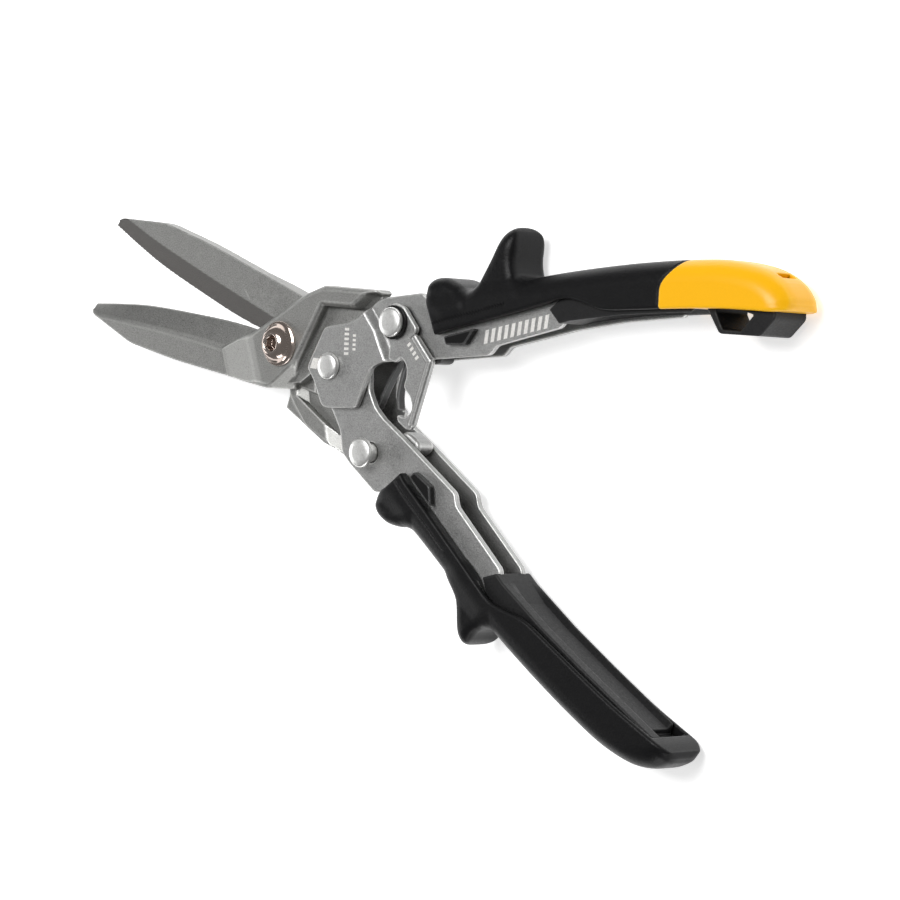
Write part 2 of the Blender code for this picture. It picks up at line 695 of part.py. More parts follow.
def pivot_nut(body, look):
    """A low hex lock nut on the back of the rear blade, flush with the grips' backs."""
    hexagon = circle((0.0, 0.0), NUT_ACROSS / 2 / math.cos(math.radians(30.0)), 6)
    bore = circle((0.0, 0.0), BOLT_R + GAP)
    nut = flat_solid("pivot_nut", [hexagon, bore], REST_Z, -BODY_TOP - GAP)
    return finish(nut, body, look)


# ---------------------------------------------------------------- assembly

def pivot(name, centre, parent):
    """An empty on a joint's axis."""
    empty = bpy.data.objects.new(name, None)
    empty.empty_display_size = 0.01
    empty.location = (centre[0] * MM, centre[1] * MM, 0.0)
    SNIPS.objects.link(empty)
    empty.parent = parent
    return empty


def put_on_ground(root):
    """Moves the root so that the snips' bounding box is centred over the origin and rests on Z = 0."""
    for tool in WORKSHOP.objects:
        tool.parent = root
    bpy.context.view_layer.update()
    graph = bpy.context.evaluated_depsgraph_get()
    corners = []
    for obj in SNIPS.objects:
        if obj.type == "MESH":
            seen = obj.evaluated_get(graph)
            corners += [seen.matrix_world @ Vector(corner) for corner in seen.bound_box]
    low = [min(corner[i] for corner in corners) for i in range(3)]
    high = [max(corner[i] for corner in corners) for i in range(3)]
    root.location = (-(low[0] + high[0]) / 2, -(low[1] + high[1]) / 2, -low[2])


def main():
    steel = material("painted_steel", (0.30, 0.30, 0.29), 0.45, 0.8)
    blade_steel = material("blasted_steel", (0.33, 0.33, 0.32), 0.5, 0.9)
    chrome = material("bolt_chrome", (0.62, 0.56, 0.50), 0.2, 1.0)
    bright = material("rivet_steel", (0.75, 0.75, 0.73), 0.3, 1.0)
    black = material("grip_black", (0.02, 0.02, 0.021), 0.55, 0.0)
    hard = material("liner_black", (0.012, 0.012, 0.013), 0.4, 0.0)
    yellow = material("cap_yellow", (1.0, 0.45, 0.0), 0.35, 0.0)
    spring_black = material("spring_black", (0.03, 0.03, 0.03), 0.4, 0.6)

    root = pivot("snips_root", (0.0, 0.0), None)
    lower = pivot("lower_handle_body", HANDLE_PIVOT, root)
    upper = pivot("upper_handle_body", HANDLE_PIVOT, root)
    front = pivot("front_blade_body", LINK, root)
    rear = pivot("rear_blade_body", (0.0, 0.0), root)
    hook = pivot("latch_body", LINK, root)

    link_hole_r = LINK_PIN_R + GAP
    blade("front_blade", front, blade_steel, link_hole_r, FRONT_CORNER)
    blade("rear_blade", rear, blade_steel, link_hole_r + LOOP_SLACK, REAR_CORNER, True)
    pivot_bolt(front, chrome)
    pivot_nut(front, bright)

    handle_frame("upper_handle_frame", upper, steel)
    handle_frame("lower_handle_frame", lower, steel, True)
    upper_skin = grip("upper_grip", upper, black, UPPER_HORN, 161.4)
    boolean(upper_skin, cap_cutter("grip_end", GAP, False), "DIFFERENCE")
    grip("lower_grip", lower, black, LOWER_HORN, 187.0, True)
    liner("upper_liner", upper, hard, 161.4)
    liner("lower_liner", lower, hard, 187.0, True)
    end_cap(upper, yellow)
    tether_loop(upper, black)
    for name, body, flipped in (("upper", upper, False), ("lower", lower, True)):
        lug(name + "_grip_lug", body, hard, flipped)
        stop_block(name + "_stop", body, steel, flipped)

    rivet("handle_rivet", lower, bright, HANDLE_PIVOT, HANDLE_PIN_R, HANDLE_HEAD_R, JOG_OUT + GAP, -JOG_OUT - GAP)
    bush_in = HANDLE_PIN_R + GAP
    ring("handle_bush", lower, bright, HANDLE_PIVOT, bush_in, bush_in + BUSH_WALL, -TAIL_TOP, TAIL_TOP)
    stud_low = LATCH_TOP + 2 * GAP
    ring_top = LATCH_TOP + GAP + WASHER_TALL
    back = -CHANNEL_OUT - GAP
    rivet("upper_link_rivet", upper, bright, LINK, LINK_PIN_R, LINK_HEAD_R, ring_top + GAP, back)
    lower_link = (LINK_X, -LINK_Y)
    rivet("lower_link_stud", lower, bright, lower_link, LINK_PIN_R, LINK_HEAD_R, stud_low, back)
    spacer_r = LINK_PIN_R + GAP
    ring("upper_link_spacer", upper, bright, LINK, spacer_r, 6.6, -TAIL_TOP, -SPLIT)
    ring("lower_link_spacer", lower, bright, LINK, spacer_r, 6.6, -TAIL_TOP, -SPLIT, True)
    washer_low = CHANNEL_OUT + GAP
    ring("latch_washer", upper, hard, LINK, spacer_r, 5.6, washer_low, washer_low + WASHER_TALL)
    ring("latch_ring", upper, hard, LINK, spacer_r, 5.4, LATCH_TOP + GAP, ring_top)
    latch(hook, steel)
    return_spring(upper, spring_black)
    put_on_ground(root)


clear_scene()
SNIPS = new_collection("aviation_snips")
WORKSHOP = new_collection("workshop")
WORKSHOP.hide_render = True
main()
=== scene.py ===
# %% [markdown]
# # Aviation snips, lying open
# The snips are an assembly of two crossed blades, two folded steel handles, moulded grips, a hook
# latch and a handful of rivets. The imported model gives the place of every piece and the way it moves,
# so each surface below is built straight in its final place and then rides on one moving body.

# %% Load the frame
import math

import bpy
import numpy as np
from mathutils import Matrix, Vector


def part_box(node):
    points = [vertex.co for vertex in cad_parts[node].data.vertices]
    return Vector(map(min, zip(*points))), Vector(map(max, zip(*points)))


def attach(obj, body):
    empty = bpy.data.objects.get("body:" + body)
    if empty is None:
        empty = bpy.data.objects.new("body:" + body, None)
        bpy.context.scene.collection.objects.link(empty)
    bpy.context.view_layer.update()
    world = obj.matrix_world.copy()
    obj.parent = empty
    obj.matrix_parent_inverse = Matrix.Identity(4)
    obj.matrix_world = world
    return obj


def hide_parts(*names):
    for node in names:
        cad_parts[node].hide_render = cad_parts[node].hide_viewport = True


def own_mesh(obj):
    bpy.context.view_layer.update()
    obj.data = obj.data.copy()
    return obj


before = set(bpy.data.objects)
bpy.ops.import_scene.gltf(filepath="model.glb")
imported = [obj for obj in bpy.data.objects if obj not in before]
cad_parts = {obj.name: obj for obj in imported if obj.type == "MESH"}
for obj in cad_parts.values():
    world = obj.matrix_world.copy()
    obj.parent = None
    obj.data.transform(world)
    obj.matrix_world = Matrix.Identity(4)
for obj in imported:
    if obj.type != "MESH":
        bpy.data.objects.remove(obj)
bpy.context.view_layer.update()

import openvdb
from mathutils import Vector

bolt_low, bolt_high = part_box("pivot_bolt")
front_low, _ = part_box("front_blade")
_, rear_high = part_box("rear_blade")
ORIGIN = np.array([
    (bolt_low.x + bolt_high.x) / 2,
    (bolt_low.y + bolt_high.y) / 2,
    (front_low.z + rear_high.z) / 2,
])
print("blade pivot and shear plane at", ORIGIN.round(5))

# %% [markdown]
# ## A drawing frame in millimetres
# Snips are drawn from the blade pivot outwards: X along the tool, Y across the opening and Z out of
# the shear plane where the blades lap. All the outlines below are millimetres in that frame, and one
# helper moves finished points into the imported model's metres. Nearly every piece is a flat outline
# with filleted corners, so the outline helpers come first.

# %% Outline helpers
def to_row(points):
    """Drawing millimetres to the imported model's metres: divide by a thousand, add the pivot's place."""
    return np.asarray(points, float) / 1000 + ORIGIN


def filleted(corners, radius=1.0, steps=4):
    """A closed outline whose corners become parabolas between points a radius away along both sides."""
    corners = np.asarray(corners, float)
    back = np.roll(corners, 1, axis=0) - corners
    ahead = np.roll(corners, -1, axis=0) - corners
    back_length = np.linalg.norm(back, axis=1, keepdims=True)
    ahead_length = np.linalg.norm(ahead, axis=1, keepdims=True)
    reach = np.broadcast_to(np.asarray(radius, float).reshape(-1, 1), (len(corners), 1))
    start = corners + back / back_length * np.minimum(reach, 0.45 * back_length)
    end = corners + ahead / ahead_length * np.minimum(reach, 0.45 * ahead_length)
    t = np.linspace(0, 1, steps + 1)[None, :, None]
    curve = (1 - t) ** 2 * start[:, None] + 2 * t * (1 - t) * corners[:, None] + t ** 2 * end[:, None]
    return curve.reshape(-1, 2)


def band(line, thickness):
    """A closed strip of even thickness to the left of an open line."""
    line = np.asarray(line, float)
    along = np.gradient(line, axis=0)
    left = np.stack([-along[:, 1], along[:, 0]], axis=1)
    left /= np.linalg.norm(left, axis=1, keepdims=True)
    return np.vstack([line, (line + left * thickness)[::-1]])


def smooth_line(points, count=60):
    """A Catmull-Rom curve through points, sampled evenly in its parameter."""
    points = np.asarray(points, float)
    padded = np.vstack([2 * points[0] - points[1], points, 2 * points[-1] - points[-2]])
    place = np.linspace(0, len(points) - 1, count)
    i = np.minimum(place.astype(int), len(points) - 2)
    t = (place - i)[:, None]
    a, b, c, d = padded[i], padded[i + 1], padded[i + 2], padded[i + 3]
    square, cube = 2 * a - 5 * b + 4 * c - d, 3 * b - a - 3 * c + d
    return 0.5 * (2 * b + (c - a) * t + square * t ** 2 + cube * t ** 3)


# %% [markdown]
# ## Solids as distance fields
# Forgings, stampings and mouldings have one thing in common: every edge is rounded and every inner
# corner has a fillet. Bevel modifiers struggle where a bend, a slope and a hole meet, so these solids
# are written as distance fields instead. A field says how far each point is outside the surface;
# two fields meet with a round edge, or join with a fillet, by adding their depths like the sides of a
# right triangle. The field is worked out on a whole grid of points at once and skinned where it is 0.

# %% Field helpers
def plan(x, y, outline):
    """Distance to a closed outline in the XY plane, negative inside: nearest side, signed by crossings."""
    outline = np.asarray(outline, float)
    nearest = np.full(np.broadcast(x, y).shape, 1e12)
    outside = np.ones(nearest.shape, bool)
    for (ax, ay), (bx, by) in zip(outline, np.roll(outline, -1, axis=0)):
        side_x, side_y, from_x, from_y = bx - ax, by - ay, x - ax, y - ay
        t = np.clip((from_x * side_x + from_y * side_y) / max(side_x ** 2 + side_y ** 2, 1e-12), 0, 1)
        nearest = np.minimum(nearest, (from_x - side_x * t) ** 2 + (from_y - side_y * t) ** 2)
        above, below, left = y >= ay, y < by, side_x * from_y > side_y * from_x
        outside = outside ^ ((above & below & left) | ~(above | below | left))
    return np.where(outside, 1, -1) * np.sqrt(nearest)


def meet(a, b, r=0.45):
    """What two solids share, with an edge of radius r: near both, depths add as in a right triangle."""
    return np.minimum(-r, np.maximum(a, b)) + np.hypot(np.maximum(a + r, 0), np.maximum(b + r, 0))


def join(a, b, r=0.45):
    """Two solids as one, with a fillet of radius r where they touch."""
    return -meet(-a, -b, r)


def cut(a, b, r=0.3):
    """The first solid with the second taken away, the new edge rounded to radius r."""
    return meet(a, -b, r)


def layer(z, low, high):
    """A slab between two levels."""
    return np.abs(z - (low + high) / 2) - (high - low) / 2


def plane(x, y, z, point, normal):
    """Distance above a plane through a point: the offset's part along the unit normal."""
    n = np.asarray(normal, float)
    n = n / np.linalg.norm(n)
    return (x - point[0]) * n[0] + (y - point[1]) * n[1] + (z - point[2]) * n[2]


def disc(x, y, centre, radius):
    """A round cylinder along Z."""
    return np.hypot(x - centre[0], y - centre[1]) - radius


def turned_over(field):
    """The same solid turned half a turn about X."""
    return lambda x, y, z: field(x, -y, -z)


# %% [markdown]
# ## Skinning a field
# OpenVDB, which comes with Blender, draws quads through the cells where the field changes sign. Each
# point then takes one Newton step onto the true surface, and the field's slope there is its normal,
# which goes in as a custom normal: flat faces shade flat and round edges shade round.

# %% Carve a solid
def slope_at(field, points, step=0.02):
    """Value and gradient of a field at points, from four samples at the corners of a small tetrahedron."""
    corners = np.array([(1, -1, -1), (-1, -1, 1), (-1, 1, -1), (1, 1, 1)], float)
    samples = [field(*(points + corner * step).T) for corner in corners]
    slope = sum(corner[None] * sample[:, None] for corner, sample in zip(corners, samples)) / (4 * step)
    return sum(samples) / 4, slope


def turning(field, points, reach=0.5):
    """How sharply the surface turns: the field summed on six points nearby, less six times its value here."""
    around = sum(field(*(points + offset).T) for offset in np.vstack([np.eye(3), -np.eye(3)]) * reach)
    return np.clip((around - 6 * field(*points.T)) / reach ** 2 / 2.4, -1, 1)


def store(mesh, label, values):
    """Keeps one number per point for the finishes to read."""
    mesh.attributes.new(label, "FLOAT", "POINT").data.foreach_set("value", np.asarray(values, np.float32))


def mesh_piece(name, points, faces, normals=None):
    """A smooth-shaded mesh object from row-frame points and faces."""
    mesh = bpy.data.meshes.new(name)
    mesh.from_pydata(points, [], faces)
    mesh.polygons.foreach_set("use_smooth", np.ones(len(mesh.polygons), bool))
    if normals is not None:
        mesh.normals_split_custom_set_from_vertices(normals)
    mesh.update()
    piece = bpy.data.objects.new(name, mesh)
    bpy.context.scene.collection.objects.link(piece)
    return piece


def carve(name, field, low, high, voxel=0.4, mask=None):
    """Skins the zero level of a field inside a box."""
    low, high = np.asarray(low, float) - 2 * voxel, np.asarray(high, float) + 2 * voxel
    x, y, z = np.meshgrid(*[np.arange(a, b, voxel) for a, b in zip(low, high)], indexing="ij", sparse=True)
    reach = 3 * voxel
    shape = (x.size, y.size, z.size)
    values = np.clip(np.broadcast_to(field(x, y, z), shape), -reach, reach).astype(np.float32)
    grid = openvdb.FloatGrid(reach)
    grid.copyFromArray(np.ascontiguousarray(values))
    points, triangles, quads = grid.convertToPolygons(isovalue=0.0, adaptivity=0.0)
    points = points.astype(float) * voxel + low
    value, slope = slope_at(field, points)
    steep = np.maximum((slope ** 2).sum(axis=1), 0.25)
    points = points - slope * (np.clip(value, -voxel, voxel) / steep)[:, None]
    normals = slope / np.maximum(np.linalg.norm(slope, axis=1, keepdims=True), 1e-9)
    faces = triangles.tolist() + quads.tolist()
    piece = mesh_piece(name, to_row(points), faces, normals)
    store(piece.data, "turning", turning(field, points))
    if mask:
        store(piece.data, "ground", mask(*points.T))
    print(f"{name}: {len(points)} points, {len(faces)} faces")
    return piece


def turn(name, profile, centre, steps=96):
    """A profile of (radius, height) carried round a vertical axis, with both ends closed."""
    profile = np.asarray(profile, float)
    angle = np.linspace(0, 2 * np.pi, steps, endpoint=False)
    x = centre[0] + profile[:, :1] * np.cos(angle)
    y = centre[1] + profile[:, :1] * np.sin(angle)
    z = np.broadcast_to(profile[:, 1:], x.shape)
    points = np.stack([x, y, z], axis=2).reshape(-1, 3)
    row = np.arange(len(profile) - 1)[:, None] * steps
    i = np.arange(steps)[None]
    after = (i + 1) % steps
    quads = np.stack([row + i, row + after, row + steps + after, row + steps + i], axis=2).reshape(-1, 4)
    faces = quads.tolist()
    bottom, top = list(range(steps)), list(range(len(points) - steps, len(points)))
    faces += [bottom[::-1], top]
    piece = mesh_piece(name, to_row(points), faces)
    piece.data.set_sharp_from_angle(angle=math.radians(38))
    return piece


def rounded_profile(corners, radius=0.25, steps=3):
    """An open profile with its inner corners rounded by parabolas; both ends stay where they are."""
    corners = np.asarray(corners, float)
    inner = filleted(corners, radius, steps).reshape(len(corners), steps + 1, 2)
    return np.vstack([corners[:1], inner[1:-1].reshape(-1, 2), corners[-1:]])


# %% [markdown]
# ## Finishes
# The metal is blasted and clear-coated: an even grey with a fine sparkle, its edges lighter, partly
# worn and partly a painted highlight, its nooks darker as painted shade. The mouldings are black with a
# spark-eroded grain. Grain and worn edges with painted light are shared by several finishes, so each is one
# node group with named inputs.

# %% Node group helpers
def new_group(name, inputs, outputs):
    group = bpy.data.node_groups.new(name, "ShaderNodeTree")
    for label, kind, value in inputs:
        socket = group.interface.new_socket(label, in_out="INPUT", socket_type=kind)
        if value is not None:
            socket.default_value = value
    for label, kind in outputs:
        group.interface.new_socket(label, in_out="OUTPUT", socket_type=kind)
    return group, group.nodes.new("NodeGroupInput"), group.nodes.new("NodeGroupOutput")


def wire(tree, *pairs):
    for source, target in pairs:
        tree.links.new(source, target)


def math_node(tree, operation, a, b, clamp=False):
    node = tree.nodes.new("ShaderNodeMath")
    node.operation = operation
    node.use_clamp = clamp
    for socket, value in zip(node.inputs, (a, b)):
        if hasattr(value, "is_linked"):
            tree.links.new(value, socket)
        else:
            socket.default_value = value
    return node.outputs[0]


# %% Grain group
def grain_group():
    """Fine grain of a given size: one noise for tone and bumps, and a faint one nine times coarser."""
    group, given, out = new_group(
        "Surface grain",
        [("Size per metre", "NodeSocketFloat", 2200.0), ("Contrast", "NodeSocketFloat", 0.3)],
        [("Tone", "NodeSocketFloat"), ("Height", "NodeSocketFloat")],
    )
    place = group.nodes.new("ShaderNodeTexCoord")
    fine = group.nodes.new("ShaderNodeTexNoise")
    fine.inputs["Detail"].default_value = 2.0
    fine.inputs["Roughness"].default_value = 0.6
    coarse = group.nodes.new("ShaderNodeTexNoise")
    coarse.inputs["Detail"].default_value = 3.0
    for noise in (fine, coarse):
        wire(group, (place.outputs["Object"], noise.inputs["Vector"]))
    wire(group, (given.outputs["Size per metre"], fine.inputs["Scale"]))
    wire(group, (math_node(group, "MULTIPLY", given.outputs["Size per metre"], 0.11), coarse.inputs["Scale"]))
    fine_part = math_node(group, "SUBTRACT", fine.outputs["Fac"], 0.5)
    coarse_part = math_node(group, "MULTIPLY", math_node(group, "SUBTRACT", coarse.outputs["Fac"], 0.5), 0.15)
    both = math_node(group, "ADD", fine_part, coarse_part)
    both = math_node(group, "MULTIPLY", both, given.outputs["Contrast"])
    wire(group, (math_node(group, "ADD", both, 1.0), out.inputs["Tone"]))
    wire(group, (fine.outputs["Fac"], out.inputs["Height"]))
    return group


def wear_and_light_group():
    """Lighter edges, partly worn and partly a painted highlight, and painted shade in nooks: how far the
    surface turns past a threshold, broken up by noise.
    """
    group, given, out = new_group(
        "Edge wear and painted light",
        [("Amount", "NodeSocketFloat", 0.6), ("Threshold", "NodeSocketFloat", 0.16)],
        [("Worn and highlit", "NodeSocketFloat"), ("Painted nook shade", "NodeSocketFloat")],
    )
    shape = group.nodes.new("ShaderNodeAttribute")
    shape.attribute_name = "turning"
    place = group.nodes.new("ShaderNodeTexCoord")
    noise = group.nodes.new("ShaderNodeTexNoise")
    noise.inputs["Scale"].default_value = 900.0
    noise.inputs["Detail"].default_value = 4.0
    wire(group, (place.outputs["Object"], noise.inputs["Vector"]))
    turn_by = shape.outputs["Fac"]
    # Edges turning outwards get lighter: partly worn, partly a painted highlight.
    past = math_node(group, "SUBTRACT", turn_by, given.outputs["Threshold"])
    convex = math_node(group, "MULTIPLY", past, 2.4, clamp=True)
    uneven = math_node(group, "ADD", noise.outputs["Fac"], 0.3)
    broken = math_node(group, "MULTIPLY", convex, uneven, clamp=True)
    # Painted shade: creases turning inwards are darkened where shade would fall.
    concave = math_node(group, "MULTIPLY", math_node(group, "SUBTRACT", -0.15, turn_by), 2.0, clamp=True)
    worn_and_highlit = math_node(group, "MULTIPLY", broken, given.outputs["Amount"], clamp=True)
    wire(group, (worn_and_highlit, out.inputs["Worn and highlit"]))
    wire(group, (concave, out.inputs["Painted nook shade"]))
    return group


GRAIN = grain_group()
WEAR_AND_LIGHT = wear_and_light_group()


# %% [markdown]
# A finish is then one Principled shader: a base colour varied by the grain, a roughness that follows
# it, and a bump. The constants sit on the shader's own sockets.

# %% Finish builder
def place_group(tree, group, **values):
    node = tree.nodes.new("ShaderNodeGroup")
    node.node_tree = group
    for label, value in values.items():
        node.inputs[label.replace("_", " ")].default_value = value
    return node


def tinted(tree, colour, factor):
    """A colour multiplied by a grey factor."""
    mix = tree.nodes.new("ShaderNodeVectorMath")
    mix.operation = "SCALE"
    mix.inputs[0].default_value = colour
    tree.links.new(factor, mix.inputs["Scale"])
    return mix.outputs[0]


def blended(tree, factor, first, second):
    mix = tree.nodes.new("ShaderNodeMix")
    mix.data_type = "RGBA"
    for label, value in (("Factor", factor), ("A", first), ("B", second)):
        socket = mix.inputs[label]
        if hasattr(value, "is_linked"):
            tree.links.new(value, socket)
        elif socket.type == "RGBA":
            socket.default_value = (*value, 1.0)
        else:
            socket.default_value = value
    return mix.outputs["Result"]


def finish_material(name, colour, roughness, metallic=0.0, grain=2200.0, contrast=0.3, bump=0.06,
                    worn_and_highlit=None, amount=0.6, nook_shade=0.35, coat=0.0, ground=None, gloss=0.5):
    """One Principled shader: grain in tone, roughness and height, edges lighter as worn metal and painted
    highlight, nooks darker as painted shade.
    """
    made = bpy.data.materials.new(name)
    made.use_nodes = True
    tree = made.node_tree
    shader = tree.nodes["Principled BSDF"]
    shader.inputs["Metallic"].default_value = metallic
    shader.inputs["Coat Weight"].default_value = coat
    shader.inputs["Specular IOR Level"].default_value = gloss
    shader.inputs["Coat Roughness"].default_value = 0.18
    speckle = place_group(tree, GRAIN, Size_per_metre=grain, Contrast=contrast)
    tone = tinted(tree, colour, speckle.outputs["Tone"])
    rough = math_node(tree, "MULTIPLY", speckle.outputs["Tone"], roughness, clamp=True)
    if worn_and_highlit:
        worn_lit_shaded = place_group(tree, WEAR_AND_LIGHT, Amount=amount)
        # Edges blend towards the lighter colour: partly worn, partly a painted highlight.
        tone = blended(tree, worn_lit_shaded.outputs["Worn and highlit"], tone, worn_and_highlit)
        # Painted shade: nooks blend towards a dark copy of the colour.
        shade = math_node(tree, "MULTIPLY", worn_lit_shaded.outputs["Painted nook shade"], nook_shade)
        tone = blended(tree, shade, tone, tuple(0.15 * c for c in colour))
    if ground:
        strip = tree.nodes.new("ShaderNodeAttribute")
        strip.attribute_name = "ground"
        tone = blended(tree, strip.outputs["Fac"], tone, ground)
    wire(tree, (tone, shader.inputs["Base Color"]), (rough, shader.inputs["Roughness"]))
    relief = tree.nodes.new("ShaderNodeBump")
    relief.inputs["Strength"].default_value = bump
    relief.inputs["Distance"].default_value = 0.0002
    wire(tree, (speckle.outputs["Height"], relief.inputs["Height"]))
    wire(tree, (relief.outputs["Normal"], shader.inputs["Normal"]))
    return made


# In each finish the second colour is its lighter edge colour, partly worn and partly a painted highlight;
# nooks darken as painted shade by the default depth or by the number after the edge amount.
handle_steel = finish_material("Handle steel", (0.38, 0.38, 0.375), 0.42, 0.85, 2600, 1.3, 0.35,
                               (0.85, 0.85, 0.83), 0.75)
blade_steel = finish_material("Blasted blade steel", (0.30, 0.30, 0.29), 0.41, 0.85, 2600, 1.4, 0.4,
                              (0.75, 0.75, 0.73), 0.55, ground=(0.13, 0.125, 0.12))
bolt_chrome = finish_material("Bolt chrome", (0.56, 0.47, 0.42), 0.14, 1.0, 900, 0.15, 0.02,
                              (0.95, 0.86, 0.80), 0.5)
rivet_steel = finish_material("Rivet steel", (0.95, 0.95, 0.93), 0.36, 1.0, 2600, 0.5, 0.06)
grip_black = finish_material("Grip black", (0.006, 0.006, 0.0065), 0.36, 0.0, 2200, 0.9, 0.35,
                             (0.03, 0.03, 0.03), 0.25, gloss=0.17)
liner_black = finish_material("Liner black", (0.007, 0.007, 0.0075), 0.46, 0.0, 1700, 1.0, 0.5,
                              (0.05, 0.05, 0.05), 0.4, gloss=0.25)
# This black also paints the upper stop dark as painted shade.
gloss_black_and_shade = finish_material("Gloss black, also painted shade", (0.006, 0.006, 0.006), 0.20, 0.0, 1700, 0.4, 0.10,
                              (0.12, 0.12, 0.12), 0.6, gloss=0.4)
cap_yellow = finish_material("Cap yellow", (1.0, 0.50, 0.001), 0.34, 0.0, 1500, 0.06, 0.05,
                             (1.0, 0.62, 0.04), 0.4, 0.6, coat=0.12, gloss=0.3)
spring_black = finish_material("Spring steel", (0.05, 0.05, 0.05), 0.35, 0.5, 1300, 0.5, 0.15,
                               (0.25, 0.25, 0.25), 0.6)
etched_silver = finish_material("Etched marks", (0.92, 0.90, 0.87), 0.45, 0.7, 1800, 0.5, 0.05)


def dress(piece, finish, body, *replaced, slot=None):
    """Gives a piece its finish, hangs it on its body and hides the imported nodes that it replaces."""
    piece.data.materials.clear()
    piece.data.materials.append(finish)
    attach(piece, body)
    if replaced:
        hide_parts(*replaced)
    return piece


# %% [markdown]
# ## Blades
# Each blade is one forging: a long bevelled jaw, a thick body round the pivot with a ramp up to it,
# a raised arm along its outer edge and a thin tail with the rivet's eye. Both blades are the same
# drawing; the rear one is turned over. The jaw's edges are curves, so its outline is two smooth lines.

# %% Blade drawing
SPLIT, JAW_TOP, BODY_TOP, TAIL_TOP = 0.15, 4.5, 7.5, 3.75
LINK = (49.1, 21.5)
HANDLE_PIVOT = (25.4, 0.0)
BOLT_BORE, LINK_BORE, HANDLE_BORE, RIVET_ROOM = 4.2, 3.2, 3.4, 5.0
CUTTING_EDGE = smooth_line(
    [(-97.1, -13.9), (-84, -10.3), (-69, -6.8), (-45.5, -3.1), (-28.4, -0.9), (-8, 0.4)], 40)
SPINE = [(-5.0, -15.6), (-24, -18.0), (-50, -20.4), (-73, -21.3), (-95.0, -17.1), (-97.0, -15.6)]
BEVEL_LINE = smooth_line(
    [(-95, -17.4), (-87.2, -16.3), (-68.5, -13.8), (-52.4, -11.9), (-36.5, -10.4), (-8, -8.6)], 30)
JAW_OUTLINE = np.vstack([CUTTING_EDGE, filleted(SPINE, [1, 6, 6, 3, 1.2, 0.8], 5)])
BODY_PLAN = filleted([
    (-28.8, -9.9), (-23.3, -17.9), (-3.0, -16.0), (5.8, -13.6), (14.3, 17.0),
    (31.5, 20.8), (36.8, 27.6), (35.6, 28.5), (12.6, 23.4), (5.1, 18.4), (-13.7, 0.3),
], 0.6)
TAIL_EYE = np.array([
    (LINK[0] + 7.6 * math.cos(math.radians(a)), LINK[1] + 7.6 * math.sin(math.radians(a)))
    for a in np.linspace(-118, 112, 30)
])
TAIL_INNER = [(2.0, -12.5), (9.0, -10.5), (16.5, -2.0), (30.0, 6.0)]
FRONT_TAIL = np.vstack([TAIL_INNER, TAIL_EYE, [(37.5, 26.3), (12.6, 23.0), (5.0, 16.0)]])
REAR_OUTER = [(38.6, 28.2), (32.0, 28.9), (26.4, 26.9), (22.1, 26.7), (1.9, 21.0), (2.2, 15.0)]
REAR_TAIL = np.vstack([TAIL_INNER, TAIL_EYE, REAR_OUTER])
EDGE_LAND = 0.8


def jaw_field(x, y, z):
    """The jaw between the shear plane and its outer face, with a bevel that climbs from the edge."""
    along = np.clip(x, -97, -8)
    edge = np.interp(along, CUTTING_EDGE[:, 0], CUTTING_EDGE[:, 1])
    ridge = np.interp(along, BEVEL_LINE[:, 0], BEVEL_LINE[:, 1])
    rise = (JAW_TOP - SPLIT - EDGE_LAND) / (edge - ridge)
    bevel = (z - SPLIT - EDGE_LAND - (edge - y) * rise) / np.sqrt(1 + rise ** 2)
    slab = meet(layer(z, SPLIT, JAW_TOP), plan(x, y, JAW_OUTLINE), 0.35)
    return meet(slab, bevel, 0.5)


def body_field(x, y, z):
    """The thick body: its outline with a chamfered rim, cut by the ramp and by the arm's sloping end."""
    side = plan(x, y, BODY_PLAN)
    chamfer = (side + z - BODY_TOP + 1.2) * 0.7071
    block = meet(meet(side, layer(z, SPLIT, BODY_TOP), 0.3), chamfer, 0.4)
    ramp = plane(x, y, z, (-28.8, -9.9, JAW_TOP), (-2.45, -1.73, 15.9))
    near_end = plane(x, y, z, (31.2, 26.2, BODY_TOP), (0.61, -0.48, 0.63))
    far_end = plane(x, y, z, (31.2, 26.2, BODY_TOP), (0.34, -0.87, 0.36))
    return meet(meet(block, ramp, 0.35), join(near_end, far_end, 0.6), 0.5)


def blade_field(x, y, z, tail_plan):
    """Jaw, body and tail joined, less the bolt's bore, the rivet's eye and the handle rivet's path."""
    tail = meet(plan(x, y, tail_plan), layer(z, SPLIT, TAIL_TOP), 0.4)
    solid = join(join(jaw_field(x, y, z), body_field(x, y, z), 0.3), tail, 0.9)
    solid = cut(solid, disc(x, y, (0, 0), BOLT_BORE), 0.3)
    solid = cut(solid, disc(x, y, LINK, LINK_BORE), 0.3)
    back, up = 2.87, 3.67
    from_pivot = x - HANDLE_PIVOT[0]
    swept = np.clip((y * up - from_pivot * back) / 21.7, 0, 1)
    return cut(solid, np.hypot(from_pivot + back * swept, y - up * swept) - RIVET_ROOM, 0.3)


def front_blade_field(x, y, z):
    return blade_field(x, y, z, FRONT_TAIL)


